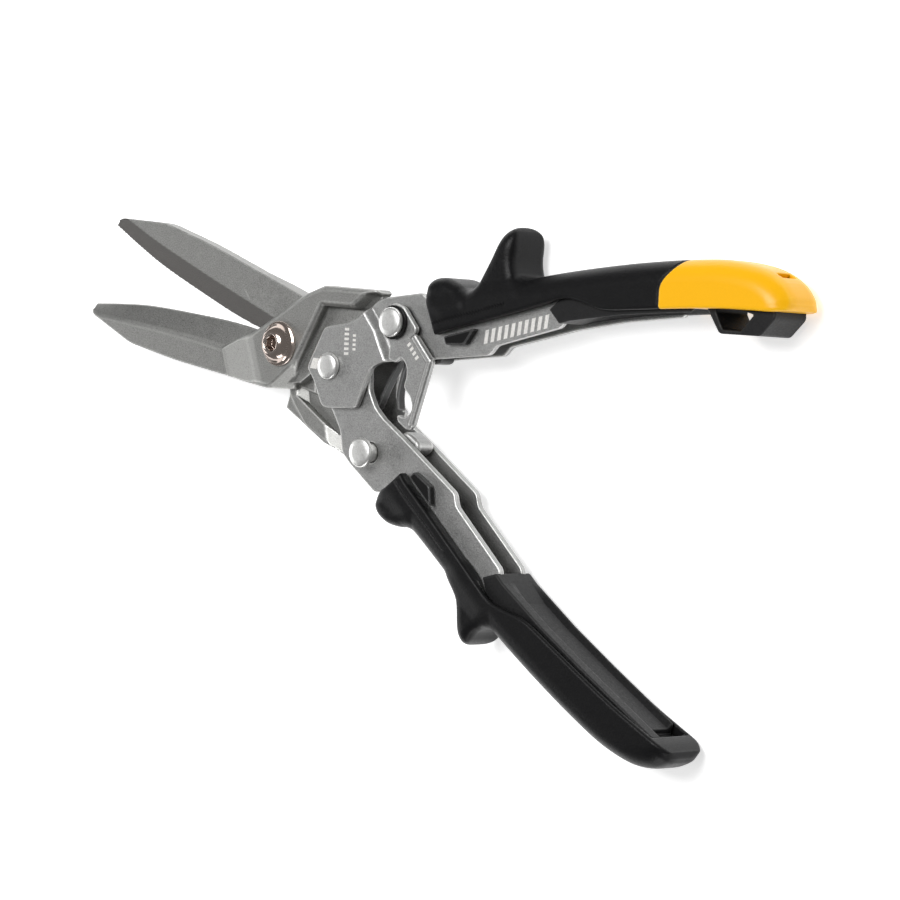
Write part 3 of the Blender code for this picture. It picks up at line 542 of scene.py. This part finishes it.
def rear_blade_field(x, y, z):
    """The rear blade before turning over: its shear face is ground by the edge and let in by the tail."""
    solid = blade_field(x, y, z, REAR_TAIL)
    ground = np.interp(np.clip(x, -97, -14), GROUND_LINE[:, 0], GROUND_LINE[:, 1])
    fall = np.where(x < -14, 0.045 * (y - ground), -1.0)
    solid = np.maximum(solid, SPLIT + fall - z)
    left = ((x - 6.0) * 0.907 - (y - 15.4) * 0.42) * 0.66
    long_wall = (x - 12.4) * 0.314 - (y - 17.8) * 0.949
    right = ((x - 22.8) * 0.87 - (y - 23.5) * 0.49) * 0.5
    let_in = meet(z - SPLIT - 2.0, (z - SPLIT - left) * 0.83, 0.2)
    let_in = np.maximum(let_in, np.minimum(-long_wall, (z - SPLIT - right) * 0.89))
    let_in = np.maximum(let_in, plan(x, y, [(4, 12.6), (35, 12.6), (35, 40), (4, 40)]))
    return cut(solid, let_in, 0.3)


def ground_mask(x, y, z):
    """1 on the ground strip of the rear blade's shear face, 0 elsewhere."""
    ground = np.interp(np.clip(x, -97, -14), GROUND_LINE[:, 0], GROUND_LINE[:, 1])
    return np.clip((-y - ground) / 0.3 + 0.5, 0, 1) * (z > -0.75) * (x < -12)


GROUND_LINE = smooth_line(
    [(-97, -18.6), (-90.6, -17.2), (-75.8, -14.2), (-56.4, -11.2), (-39.3, -8.8), (-8, -4.8)], 30)

front_blade = carve("front_blade_forging", front_blade_field, (-98, -22, 0), (59, 31, 8), 0.42)
rear_blade = carve(
    "rear_blade_forging", turned_over(rear_blade_field), (-98, -31, -8), (59, 22, 0), 0.42, ground_mask)
dress(front_blade, blade_steel, "front_blade", "front_blade", slot="blade_steel")
dress(rear_blade, blade_steel, "rear_blade", "rear_blade", slot="blade_steel")


# %% [markdown]
# ## Handle channels
# Each handle is a steel sheet folded into a channel. One flange runs straight past the handle rivet,
# the other steps outwards to pass over the other handle. The sheet is a layer whose middle level
# climbs smoothly across the bend, and the flanges join the web along the palm with small radii.

# %% Handle drawing
SHEET_HALF, NEAR_LEVEL, STEP_LEVEL = 1.1, 5.15, 7.65
STEP_EDGE = [
    (35.2, 23.4), (32.8, 18.6), (28.3, 15.4), (18.9, 11.3),
    (16.4, 1.4), (15.3, -3.4), (19.5, -6.5), (25.4, -13.2),
    (27.6, -13.2), (39.4, -9.9), (40.6, -8.6), (41.9, 0.6), (43.0, 5.0), (46.2, 7.4),
]
INNER_EDGE = [(50.9, 9.5), (60.8, 12.7), (87.7, 22.4), (89.6, 26.0), (112.9, 38.6)]
BURIED_EDGE = [(115.0, 43.6), (136.0, 52.6), (150.0, 57.4)]
PALM_EDGE = [(150.0, 65.6), (134.0, 61.0), (117.0, 54.8), (95.0, 45.0), (70.0, 33.0), (58.5, 31.5)]
SHOULDER = [(54.5, 33.0), (40.8, 27.6), (36.9, 25.4)]
STEPPED_PLAN = filleted(STEP_EDGE + INNER_EDGE + BURIED_EDGE + PALM_EDGE + SHOULDER, 1.3)
LUG_RADIUS = 11
LUG = [
    (HANDLE_PIVOT[0] + LUG_RADIUS * math.cos(math.radians(a)), LUG_RADIUS * math.sin(math.radians(a)))
    for a in np.linspace(118, 300, 16)
]
STRAIGHT_PLAN = filleted(
    [(46.2, 7.0)] + INNER_EDGE + BURIED_EDGE + PALM_EDGE + SHOULDER + [(33.7, 18.8), (27.6, 13.2)] + LUG
    + [(38.0, -8.6), (40.6, -2.6), (42.4, 3.0)], 1.3)
RAISED_REGION = [
    (-20, 60), (20, 31), (34.6, 21.4), (41.0, 17.0), (45.0, 12.6),
    (48.6, 9.0), (54, 3), (54, -40), (-20, -40)]
BEND_WIDTH = 3.0
RAIL_EDGE = [
    (50.9, 9.5), (60.8, 12.7), (85.0, 21.6), (86.6, 24.9), (111.1, 37.6), (128.6, 45.3), (150.2, 53.2)]
WEB_STRIP = band(PALM_EDGE, 2.2)


def channel_field(x, y, z, straight_plan=STRAIGHT_PLAN):
    """A stepped flange, a straight flange and the web between them, all two and a bit millimetres thick."""
    raised = np.clip(0.5 - plan(x, y, RAISED_REGION) / BEND_WIDTH, 0, 1)
    raised = raised * raised * (3 - 2 * raised)
    level = NEAR_LEVEL + (STEP_LEVEL - NEAR_LEVEL) * raised
    stepped = meet((np.abs(z - level) - SHEET_HALF) * 0.9, plan(x, y, STEPPED_PLAN), 0.55)
    straight = meet(np.abs(z + NEAR_LEVEL) - SHEET_HALF, plan(x, y, straight_plan), 0.55)
    web = meet(plan(x, y, WEB_STRIP), np.abs(z) - 6.0, 0.9)
    solid = join(join(stepped, straight, 0.5), web, 1.2)
    solid = cut(solid, disc(x, y, LINK, LINK_BORE), 0.3)
    return cut(solid, disc(x, y, HANDLE_PIVOT, HANDLE_BORE), 0.3)


RAIL_PLAN = filleted(
    [(46.2, 7.0)] + RAIL_EDGE + PALM_EDGE + SHOULDER + [(33.7, 18.8), (27.6, 13.2)] + LUG
    + [(38.0, -8.6), (40.6, -2.6), (42.4, 3.0)], 1.3)


def upper_channel_field(x, y, z):
    """The upper channel, whose far flange runs on below the liner."""
    return channel_field(x, y, z, RAIL_PLAN)


upper_frame = carve("upper_handle_channel", upper_channel_field, (15, -14, -6.5), (152, 66, 9), 0.45)
lower_frame = carve("lower_handle_channel", turned_over(channel_field), (15, -66, -9), (152, 14, 6.5), 0.45)
dress(upper_frame, handle_steel, "upper_handle", "upper_handle_frame", slot="handle_steel")
dress(lower_frame, handle_steel, "lower_handle", "lower_handle_frame", slot="handle_steel")


# %% [markdown]
# ## Grips
# The grips are moulded over the channels: flat flanks, a round palm, a guard nub in front and a tall
# horn for the finger. The flank and the palm meet with a wide radius, the inner edge with a small
# one, and the nub and the horn join with fillets a few millimetres wide.

# %% Grip drawing
PALM_LINE = smooth_line([
    (57.6, 34.4), (64.6, 36.2), (76.0, 40.4), (91.6, 47.6),
    (101.0, 52.0), (109.2, 55.6), (118.6, 59.4), (127.6, 62.9),
    (137.4, 66.5), (151.4, 71.2), (167.0, 75.6), (179.8, 77.0), (188.4, 75.4), (193.4, 72.2), (195.0, 69.6),
], 70)
INNER_LINE = smooth_line([
    (66.6, 22.6), (70.0, 24.9), (82.0, 31.1), (98.2, 39.6),
    (108.0, 44.9), (115.0, 48.2), (122.0, 48.8), (130.5, 49.2),
    (142.0, 52.6), (156.0, 57.0), (171.0, 61.4), (182.0, 64.1), (190.0, 66.0), (194.2, 67.6),
], 70)
GRIP_PLAN = np.vstack([INNER_LINE, PALM_LINE[::-1]])
PALM_SIDE = np.vstack([PALM_LINE, [(230, 60), (230, -40), (40, -40), (40, 34)]])
INNER_SIDE = np.vstack([INNER_LINE, [(230, 80), (230, 140), (30, 140), (30, 10)]])
GRIP_HALF = 10.2
PALM_ROUND = 7.4
UPPER_HORN_HEIGHT, LOWER_HORN_HEIGHT = 17.6, 12.6
UPPER_HORN_PLAN = filleted([
    (97.0, 42.0), (91.0, 48.6), (88.6, 52.8), (87.8, 58.4), (86.8, 61.6), (84.4, 63.2), (82.0, 60.8),
    (80.2, 52.0), (77.0, 41.5), (76.0, 35.0),
], 3.2)
LOWER_HORN_PLAN = filleted([
    (116.0, 52.0), (112.4, 58.2), (109.6, 60.6), (107.8, 64.4), (105.4, 66.6), (102.8, 65.4), (101.8, 60.0),
    (99.6, 53.6), (94.0, 46.0), (100.0, 42.0),
], 3.2)
NUB_PLAN = filleted([
    (59.2, 29.0), (56.4, 35.6), (58.6, 38.9), (63.6, 40.6),
    (70.0, 39.8), (75.6, 36.8), (77.0, 32.0), (68, 27),
], 2.4)


def grip_field(x, y, z, horn, horn_height):
    """The grip's skin: flanks and palm, then the nub and the tapering horn, joined with wide fillets."""
    flank = np.abs(z) - GRIP_HALF
    solid = meet(meet(plan(x, y, PALM_SIDE), flank, PALM_ROUND), plan(x, y, GRIP_PLAN), 1.0)
    above = np.maximum(plan(x, y, PALM_SIDE) - horn_height + 8.8, 0)
    fin = meet(meet(plan(x, y, horn), np.abs(z) - 9.3, 3.8), np.hypot(z, above) - 8.9, 1.5)
    nub = meet(plan(x, y, NUB_PLAN), np.abs(z) - 9.6, 4.4)
    groove = np.hypot(plan(x, y, INNER_SIDE) + 3.1, np.abs(z) - GRIP_HALF - 0.1) - 0.4
    groove = np.maximum(groove, x - 92)
    return cut(join(join(solid, fin, 4.0), nub, 2.2), groove, 0.15)


def hollow(x, y, z, liner_end):
    """The room for the channel and the liner inside the grip, open towards the other handle."""
    channel = np.maximum(plan(x, y, CHANNEL_ROOM), np.abs(z) - 6.55)
    room = np.maximum(plan(x, y, liner_room(liner_end)), np.abs(z) - 8.5)
    return np.minimum(channel, room)


LINER_KNEE, UPPER_LINER_END, LOWER_LINER_END = 154.4, 161.4, 187.0
CHANNEL_ROOM = np.vstack([
    [(54.5, 33.3)], [(58.3, 31.9), (69.8, 33.4), (94.8, 45.4), (116.9, 55.2), (133.9, 61.4), (151.3, 66.3)],
    [(151.3, 45.0), (113.0, 30.0), (60.0, 5.0)],
])


def liner_room(end_x):
    """The outline of the room for a liner that ends at a given place."""
    rise = end_x - LINER_KNEE
    return [(104.0, 41.0), (113.4, 30.0), (end_x + 0.3, 45.0), (end_x + 0.3, 63.4 + rise * 0.22),
            (150.0, 62.4), (134.0, 57.8), (118.0, 51.9), (111.4, 48.6)]


CAP_SEAM = smooth_line(
    [(152.0, 50.0), (150.2, 57.0), (149.2, 62.0), (150.8, 66.4), (154.4, 73.0), (158.0, 78.0)], 24)
CAP_REGION = np.vstack([CAP_SEAM, [(230, 78), (230, 40), (152, 40)]])


def upper_grip_field(x, y, z):
    solid = grip_field(x, y, z, UPPER_HORN_PLAN, UPPER_HORN_HEIGHT)
    solid = cut(solid, hollow(x, y, z, UPPER_LINER_END), 0.3)
    return cut(solid, plan(x, y, CAP_REGION) - 0.25, 0.5)


def lower_grip_field(x, y, z):
    solid = grip_field(x, y, z, LOWER_HORN_PLAN, LOWER_HORN_HEIGHT)
    return cut(solid, hollow(x, y, z, LOWER_LINER_END), 0.3)


def cap_field(x, y, z):
    skin = grip_field(x, y, z, UPPER_HORN_PLAN, UPPER_HORN_HEIGHT)
    solid = meet(skin, plan(x, y, CAP_REGION), 0.5)
    slot_plan = plan(x, y, [(183.2, 71.8), (185.8, 71.4), (188.0, 80.0), (185.0, 80.0)])
    slot = np.maximum(slot_plan, np.abs(z) - 3.2)
    room = np.maximum(plan(x, y, [(140, 46), (163, 46), (163, 65.6), (140, 65.6)]), np.abs(z) - 8.5)
    loop_room = np.maximum(plan(x, y, LOOP_PLAN) - 0.3, np.abs(z) - 7.9)
    return cut(cut(cut(solid, slot, 0.3), room, 0.3), loop_room, 0.3)


LOOP_PLAN = filleted([
    (165.6, 60.8), (168.0, 58.6), (172.8, 54.4), (187.4, 57.9),
    (191.2, 64.4), (190.0, 68.4), (166.4, 65.0),
], 0.9)
LOOP_WINDOW = filleted([(169.8, 60.2), (173.8, 56.0), (180.4, 57.5), (183.4, 63.2), (170.2, 62.8)], 0.6)


def loop_field(x, y, z):
    block = meet(plan(x, y, LOOP_PLAN), np.abs(z) - 7.6, 0.6)
    return cut(block, plan(x, y, LOOP_WINDOW), 0.4)


upper_grip = carve("upper_grip_moulding", upper_grip_field, (53, 20, -11), (160, 76, 11), 0.55)
lower_grip = carve("lower_grip_moulding", turned_over(lower_grip_field), (53, -80, -11), (197, -20, 11), 0.55)
end_cap = carve("end_cap_moulding", cap_field, (146, 50, -11), (197, 80, 11), 0.5)
loop = carve("tether_loop_moulding", loop_field, (164, 53, -8), (192, 70, 8), 0.4)
dress(upper_grip, grip_black, "upper_handle", "upper_grip", slot="grip_black")
dress(lower_grip, grip_black, "lower_handle", "lower_grip", slot="grip_black")
dress(end_cap, cap_yellow, "upper_handle", "end_cap", slot="cap_yellow")
dress(loop, liner_black, "upper_handle", "tether_loop", slot="grip_black")


# %% [markdown]
# ## Liners and lugs
# A hard liner closes the open side of each grip. Its face is let in along the middle so that the
# fingers find it, and the long lower one ends in a small slot. The lugs are little moulded blocks
# that clip over the flanges where the grip begins.

# %% Liners and lugs
def liner_field(x, y, z, end_x):
    """The liner's outline between the flanges, less a shallow trough with its wider rim towards -Z."""
    past_knee = end_x - LINER_KNEE
    edge = [
        (108.2, 42.9), (113.4, 39.9), (117.0, 41.8), (136.0, 49.2),
        (LINER_KNEE, 55.3), (end_x, 55.3 + past_knee * 0.31)]
    back = [(end_x, 62.9 + past_knee * 0.20), (150.0, 62.0), (134.0, 57.4), (118.0, 51.4), (112.0, 48.0)]
    solid = meet(plan(x, y, np.vstack([edge, back])), np.abs(z) - 8.2, 0.7)
    inner = plan(x, y, np.vstack([edge[1:], [(end_x + 60, 74), (230, 150), (60, 150), (60, 10)]]))
    depth = 1.6 * np.clip((6.0 - np.abs(z - 1.6)) / 2.0, 0, 1) * np.clip((x - 116) / 8, 0, 1)
    return meet(solid, (inner + depth) * 0.93, 0.3)


def upper_liner_field(x, y, z):
    return liner_field(x, y, z, UPPER_LINER_END)


def lower_liner_field(x, y, z):
    slot = np.maximum(np.abs(x - 183.9) - 2.4, np.maximum(np.abs(z - 2.4) - 6.2, y - 67.2))
    return cut(liner_field(x, y, z, LOWER_LINER_END), slot, 0.25)


LUG_PLAN = filleted([(69.6, 23.0), (71.2, 20.7), (78.8, 23.0), (81.3, 29.1)], 0.8)


def lug_field(x, y, z):
    """Two small blocks, one on each flange."""
    return meet(plan(x, y, LUG_PLAN), np.abs(np.abs(z) - 7.4) - 1.35, 0.5)


upper_liner = carve("upper_liner_moulding", upper_liner_field, (107, 38, -9), (163, 65, 9), 0.5)
lower_liner = carve(
    "lower_liner_moulding", turned_over(lower_liner_field), (107, -72, -9), (189, -38, 9), 0.5)
upper_lugs = carve("upper_lugs", lug_field, (69, 20, -9), (82, 30, 9), 0.35)
lower_lugs = carve("lower_lugs", turned_over(lug_field), (69, -30, -9), (82, -20, 9), 0.35)
dress(upper_liner, liner_black, "upper_handle", "upper_liner", slot="liner_black")
dress(lower_liner, liner_black, "lower_handle", "lower_liner", slot="liner_black")
dress(upper_lugs, gloss_black_and_shade, "upper_handle", "upper_grip_lug", slot="liner_black")
dress(lower_lugs, gloss_black_and_shade, "lower_handle", "lower_grip_lug", slot="liner_black")


# %% [markdown]
# The cap meets the grip at a thin recessed seam, so a slim ring of the same section fills the gap.

# %% Cap seam
def seam_field(x, y, z):
    """The grip's section, a little smaller, kept only within a third of a millimetre of the seam line."""
    solid = grip_field(x, y, z, UPPER_HORN_PLAN, UPPER_HORN_HEIGHT) + 0.15
    ring = np.maximum(solid, np.abs(plan(x, y, CAP_REGION) - 0.1) - 0.5)
    return cut(ring, hollow(x, y, z, UPPER_LINER_END) - 0.2, 0.1)


cap_seam = carve("cap_seam_ring", seam_field, (146, 50, -11), (160, 76, 11), 0.4)
dress(cap_seam, liner_black, "upper_handle", slot="grip_black")


# %% [markdown]
# ## Latch, stops and spring
# The latch is stamped from plate: a rivet eye, a notched shoulder for the thumb and a hook that drops
# over the lower stud. The stops are rolled tabs that meet when the handles close. The spring is a
# slim black leaf bent into a V between the handles.

# %% Latch, stops and spring
LATCH_PLAN = filleted([
    (43.2, 19.0), (43.4, 24.4), (46.6, 27.4), (51.0, 27.2), (58.6, 22.2),
    (57.9, 19.6), (56.4, 18.4), (58.8, 20.3), (68.4, 14.4), (68.1, 11.0),
    (67.0, -7.4), (64.8, -9.4), (59.8, -7.8), (59.0, -5.9), (61.7, -5.0), (63.9, -2.1),
    (62.9, 0.9), (58.8, 3.1), (59.1, 6.8), (58.0, 10.0), (54.9, 11.8), (52.7, 9.3), (49.7, 9.7), (49.0, 14.5),
    (44.8, 16.2),
], [
    1.6, 2, 2, 1, 1.2, 0.5, 0.3, 0.5, 1.4, 3, 1.5, 1.5, 0.8,
    0.7, 1, 1.6, 1.2, 1.4, 1.5, 1.4, 1, 0.9, 0.8, 1.5, 1.6,
], 4)
HOOK_CENTRE, HOOK_RADIUS = (61.07, -2.52), 3.35


def latch_field(x, y, z):
    """A flat plate with a low rounded rib folded up along its outer edge."""
    plate = meet(plan(x, y, LATCH_PLAN), layer(z, 7.5, 9.3), 0.45)
    rib_line = np.minimum(
        plan(x, y, [(58.8, 19.6), (67.3, 14.2), (66.9, 13.6), (58.4, 19.0)]),
        plan(x, y, [(67.3, 14.2), (66.0, -7.0), (65.5, -7.0), (66.8, 13.8)]))
    rib = np.hypot(np.maximum(rib_line, 0), z - 9.0) - 0.8
    solid = cut(join(plate, rib, 0.25), disc(x, y, HOOK_CENTRE, HOOK_RADIUS), 0.3)
    return cut(solid, disc(x, y, LINK, LINK_BORE), 0.3)


STOP_PLAN = filleted([
    (57.0, 19.0), (56.6, 13.4), (59.4, 10.8), (64.0, 10.8), (66.3, 13.0), (66.2, 16.2), (62.0, 19.5),
], [1, 2, 2, 2, 2, 2, 1], 5)


def stop_field(x, y, z):
    """A rounded tab whose face leans along the line halfway between the closed handles."""
    face = 0.15 - (y - (x - HANDLE_PIVOT[0]) * 0.3153) * 0.9537
    return meet(meet(plan(x, y, STOP_PLAN), face, 1.2), np.abs(z) - 3.75, 1.3)


SPRING_LINE = smooth_line([
    (43.2, -9.0), (43.9, -5.6), (45.0, -1.0), (46.6, 4.4), (47.8, 7.9), (48.8, 9.2), (49.8, 8.4), (49.6, 5.0),
    (49.5, 1.0), (50.0, -2.6), (51.6, -6.6),
], 60)
SPRING_PLAN = band(SPRING_LINE, 0.9)


def spring_field(x, y, z):
    return meet(plan(x, y, SPRING_PLAN), np.abs(z) - 1.6, 0.3)


latch = carve("latch_plate", latch_field, (42, -10, 7), (69, 28, 10.4), 0.3)
upper_stop = carve("upper_stop_tab", stop_field, (56, 10, -4), (67, 20, 4), 0.35)
lower_stop = carve("lower_stop_tab", turned_over(stop_field), (56, -20, -4), (67, -10, 4), 0.35)
spring = carve("return_spring_leaf", spring_field, (42, -10, -2), (54, 11, 2), 0.25)
dress(latch, handle_steel, "latch", "latch", slot="handle_steel")
# The upper stop is the same steel tab as the lower one; it is coloured black as painted shade, because it
# sits in shadow under the plate.
dress(upper_stop, gloss_black_and_shade, "upper_handle", "upper_stop", slot="handle_steel")
dress(lower_stop, handle_steel, "lower_handle", "lower_stop", slot="handle_steel")
dress(spring, spring_black, "upper_handle", "return_spring", slot="spring_black")
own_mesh(spring)


# %% [markdown]
# ## Bolt and rivets
# These are turned parts, so each is a profile of radius and height. The bolt is a field because of
# its hexagon socket; the rivets are plain surfaces of revolution with closed ends.

# %% Bolt
BOLT_PROFILE = filleted([
    (0.0, -9.5), (3.9, -9.5), (3.9, 7.45), (7.35, 7.45), (7.35, 8.35), (6.5, 8.75), (6.1, 9.3), (5.5, 10.5),
    (4.5, 11.6), (3.5, 12.15), (0.0, 12.15),
], [0.01, 0.5, 0.2, 0.3, 0.3, 0.3, 0.5, 0.8, 0.8, 0.35, 0.01], 4)
BOLT_PROFILE = np.vstack([BOLT_PROFILE, [(-4.0, 12.15), (-4.0, -9.5)]])


def bolt_field(x, y, z):
    """The turned profile, less a hexagon: the largest of three distances between opposite flats."""
    body = plan(np.hypot(x, y), z, BOLT_PROFILE)
    angles = np.radians([12.0, 72.0, 132.0])
    hexagon = np.max([np.abs(x * math.cos(a) + y * math.sin(a)) for a in angles], axis=0) - 2.15
    socket = np.maximum(hexagon, 9.2 - z)
    lead_in = (np.hypot(x, y) - 2.9 + (12.15 - z)) * 0.7
    return cut(cut(body, socket, 0.12), np.maximum(lead_in, 9.2 - z), 0.1)


bolt = carve("pivot_bolt_turned", bolt_field, (-8, -8, -10), (8, 8, 12.6), 0.22)
dress(bolt, bolt_chrome, "front_blade", "pivot_bolt", slot="bolt_chrome")


# %% Rivets
def rivet(name, centre, radius, shank, low, seat, high, back_seat, body, node):
    """A shank with a low-domed head above the seat and a formed head under the back seat."""
    profile = rounded_profile([
        (0.4, low), (radius - 1.0, low + 0.05), (radius - 0.1, low + 0.5), (radius - 0.1, back_seat),
        (shank, back_seat), (shank, seat), (radius - 0.35, seat), (radius, seat + 0.35),
        (radius, high - 0.75), (radius - 0.55, high - 0.28),
        (radius * 0.6, high - 0.06), (0.3, high),
    ], 0.25, 3)
    piece = turn(name, profile, centre, 96)
    return dress(piece, rivet_steel, body, node, slot="rivet_steel")


LOWER_LINK = (LINK[0], -LINK[1])
rivet("upper_link_rivet_turned", LINK, 4.7, 3.0,
      -7.65, 10.4, 12.65, -6.25, "upper_handle", "upper_link_rivet")
rivet("lower_link_stud_turned", LOWER_LINK, 4.7, 3.0,
      -7.65, 9.85, 12.0, -6.25, "lower_handle", "lower_link_stud")
rivet("handle_rivet_turned", HANDLE_PIVOT, 4.3, 3.2,
      -10.15, 8.75, 10.95, -8.75, "lower_handle", "handle_rivet")


# %% [markdown]
# ## Etched marks
# The plates carry plain etched marks: slanted bars on the handle, short strokes on the step plate and
# the latch. They are slips a few hundredths of a millimetre thick, so they stay crisp at any distance.

# %% Marks
def marks(name, start, along, across, count, level, body):
    """Slips of even pitch: each a thin closed box whose base is a parallelogram along the pitch and slant."""
    start, along, across = np.array(start), np.array(along), np.array(across)
    place = start + along * np.arange(count)[:, None]
    width = along * 0.55
    base = np.stack([place, place + width, place + width + across, place + across], axis=1)
    low = np.concatenate([base, np.full(base.shape[:2] + (1,), level - 0.02)], axis=2)
    high = np.concatenate([base, np.full(base.shape[:2] + (1,), level + 0.04)], axis=2)
    points = np.concatenate([low, high], axis=1).reshape(-1, 3)
    box = np.array([(0, 3, 2, 1), (4, 5, 6, 7), (0, 1, 5, 4), (1, 2, 6, 5), (2, 3, 7, 6), (3, 0, 4, 7)])
    if np.cross(along, across) < 0:
        box = box[:, ::-1]
    faces = (np.arange(count)[:, None, None] * 8 + box).reshape(-1, 4)
    piece = mesh_piece(name, to_row(points), faces.tolist())
    piece.data.polygons.foreach_set("use_smooth", np.zeros(len(faces), bool))
    return dress(piece, etched_silver, body, slot="handle_steel")


marks("handle_marks", (84.6, 25.0), (2.45, 1.26), (-0.6, 4.3), 10, 6.25, "upper_handle")
marks("step_marks_long", (30.2, 5.2), (-0.42, 1.5), (1.9, 0.5), 6, 8.75, "upper_handle")
marks("step_marks_short", (33.4, 7.6), (-0.40, 1.4), (1.3, 0.35), 4, 8.75, "upper_handle")
marks("step_flash", (16.9, -3.2), (5.4, 1.0), (0.4, 3.6), 1, 8.75, "upper_handle")
marks("latch_marks", (56.2, 16.2), (1.5, -1.0), (0.9, 1.3), 4, 9.3, "latch")


# %% [markdown]
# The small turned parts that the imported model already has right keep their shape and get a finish.

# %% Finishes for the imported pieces
for node, finish in {
    "latch_ring": gloss_black_and_shade, "latch_washer": gloss_black_and_shade,
    "pivot_nut": rivet_steel, "handle_bush": rivet_steel,
    "upper_link_spacer": rivet_steel, "lower_link_spacer": rivet_steel,
}.items():
    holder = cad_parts[node]
    holder.data.materials.clear()
    holder.data.materials.append(finish)


# %% [markdown]
# ## Floor, light and camera
# The tool lies on a pale floor under large soft lamps: one above, one low on the left that the flat
# faces mirror, and one low in front for the edges.

# %% Stage
def area_light(name, place, aim, size, power):
    lamp = bpy.data.lights.new(name, "AREA")
    lamp.shape = "RECTANGLE"
    lamp.size, lamp.size_y = size
    lamp.energy = power
    holder = bpy.data.objects.new(name, lamp)
    bpy.context.scene.collection.objects.link(holder)
    holder.location = place
    holder.rotation_euler = (Vector(aim) - Vector(place)).to_track_quat("-Z", "Y").to_euler()


floor_mesh = bpy.data.meshes.new("floor")
floor_mesh.from_pydata([(-6, -6, 0), (6, -6, 0), (6, 6, 0), (-6, 6, 0)], [], [(0, 1, 2, 3)])
floor = bpy.data.objects.new("floor", floor_mesh)
bpy.context.scene.collection.objects.link(floor)
floor_paint = finish_material("Pale floor", (0.92, 0.92, 0.92), 0.9, 0.0, 40, 0.02, 0.0)
floor_paint.node_tree.nodes["Principled BSDF"].inputs["Emission Color"].default_value = (1, 1, 1, 1)
floor_paint.node_tree.nodes["Principled BSDF"].inputs["Emission Strength"].default_value = 0.58
floor.data.materials.append(floor_paint)

world = bpy.data.worlds.new("Soft studio")
world.use_nodes = True
world.node_tree.nodes["Background"].inputs["Color"].default_value = (1, 1, 1, 1)
world.node_tree.nodes["Background"].inputs["Strength"].default_value = 0.20
bpy.context.scene.world = world
area_light("overhead softbox", (-0.05, 0.45, 1.25), (0, 0, 0), (0.9, 0.6), 14.5)
area_light("left softbox", (-1.2, -0.45, 0.52), (0, 0, 0), (0.75, 0.55), 2.9)
area_light("front softbox", (0.40, -1.30, 0.30), (0, 0, 0), (0.7, 0.4), 3.5)

# %% Camera
camera_data = bpy.data.cameras.new("studio camera")
camera_data.sensor_width = 36.0
camera_data.lens = 140.45
camera_data.clip_end = 20.0
camera = bpy.data.objects.new("studio camera", camera_data)
bpy.context.scene.collection.objects.link(camera)
camera.location = to_row((789.75, 202.59, 811.02))
camera.rotation_euler = [math.radians(a) for a in (1.2599, 42.5655, 18.5905)]
bpy.context.scene.camera = camera
bpy.context.scene.view_settings.view_transform = "Standard"
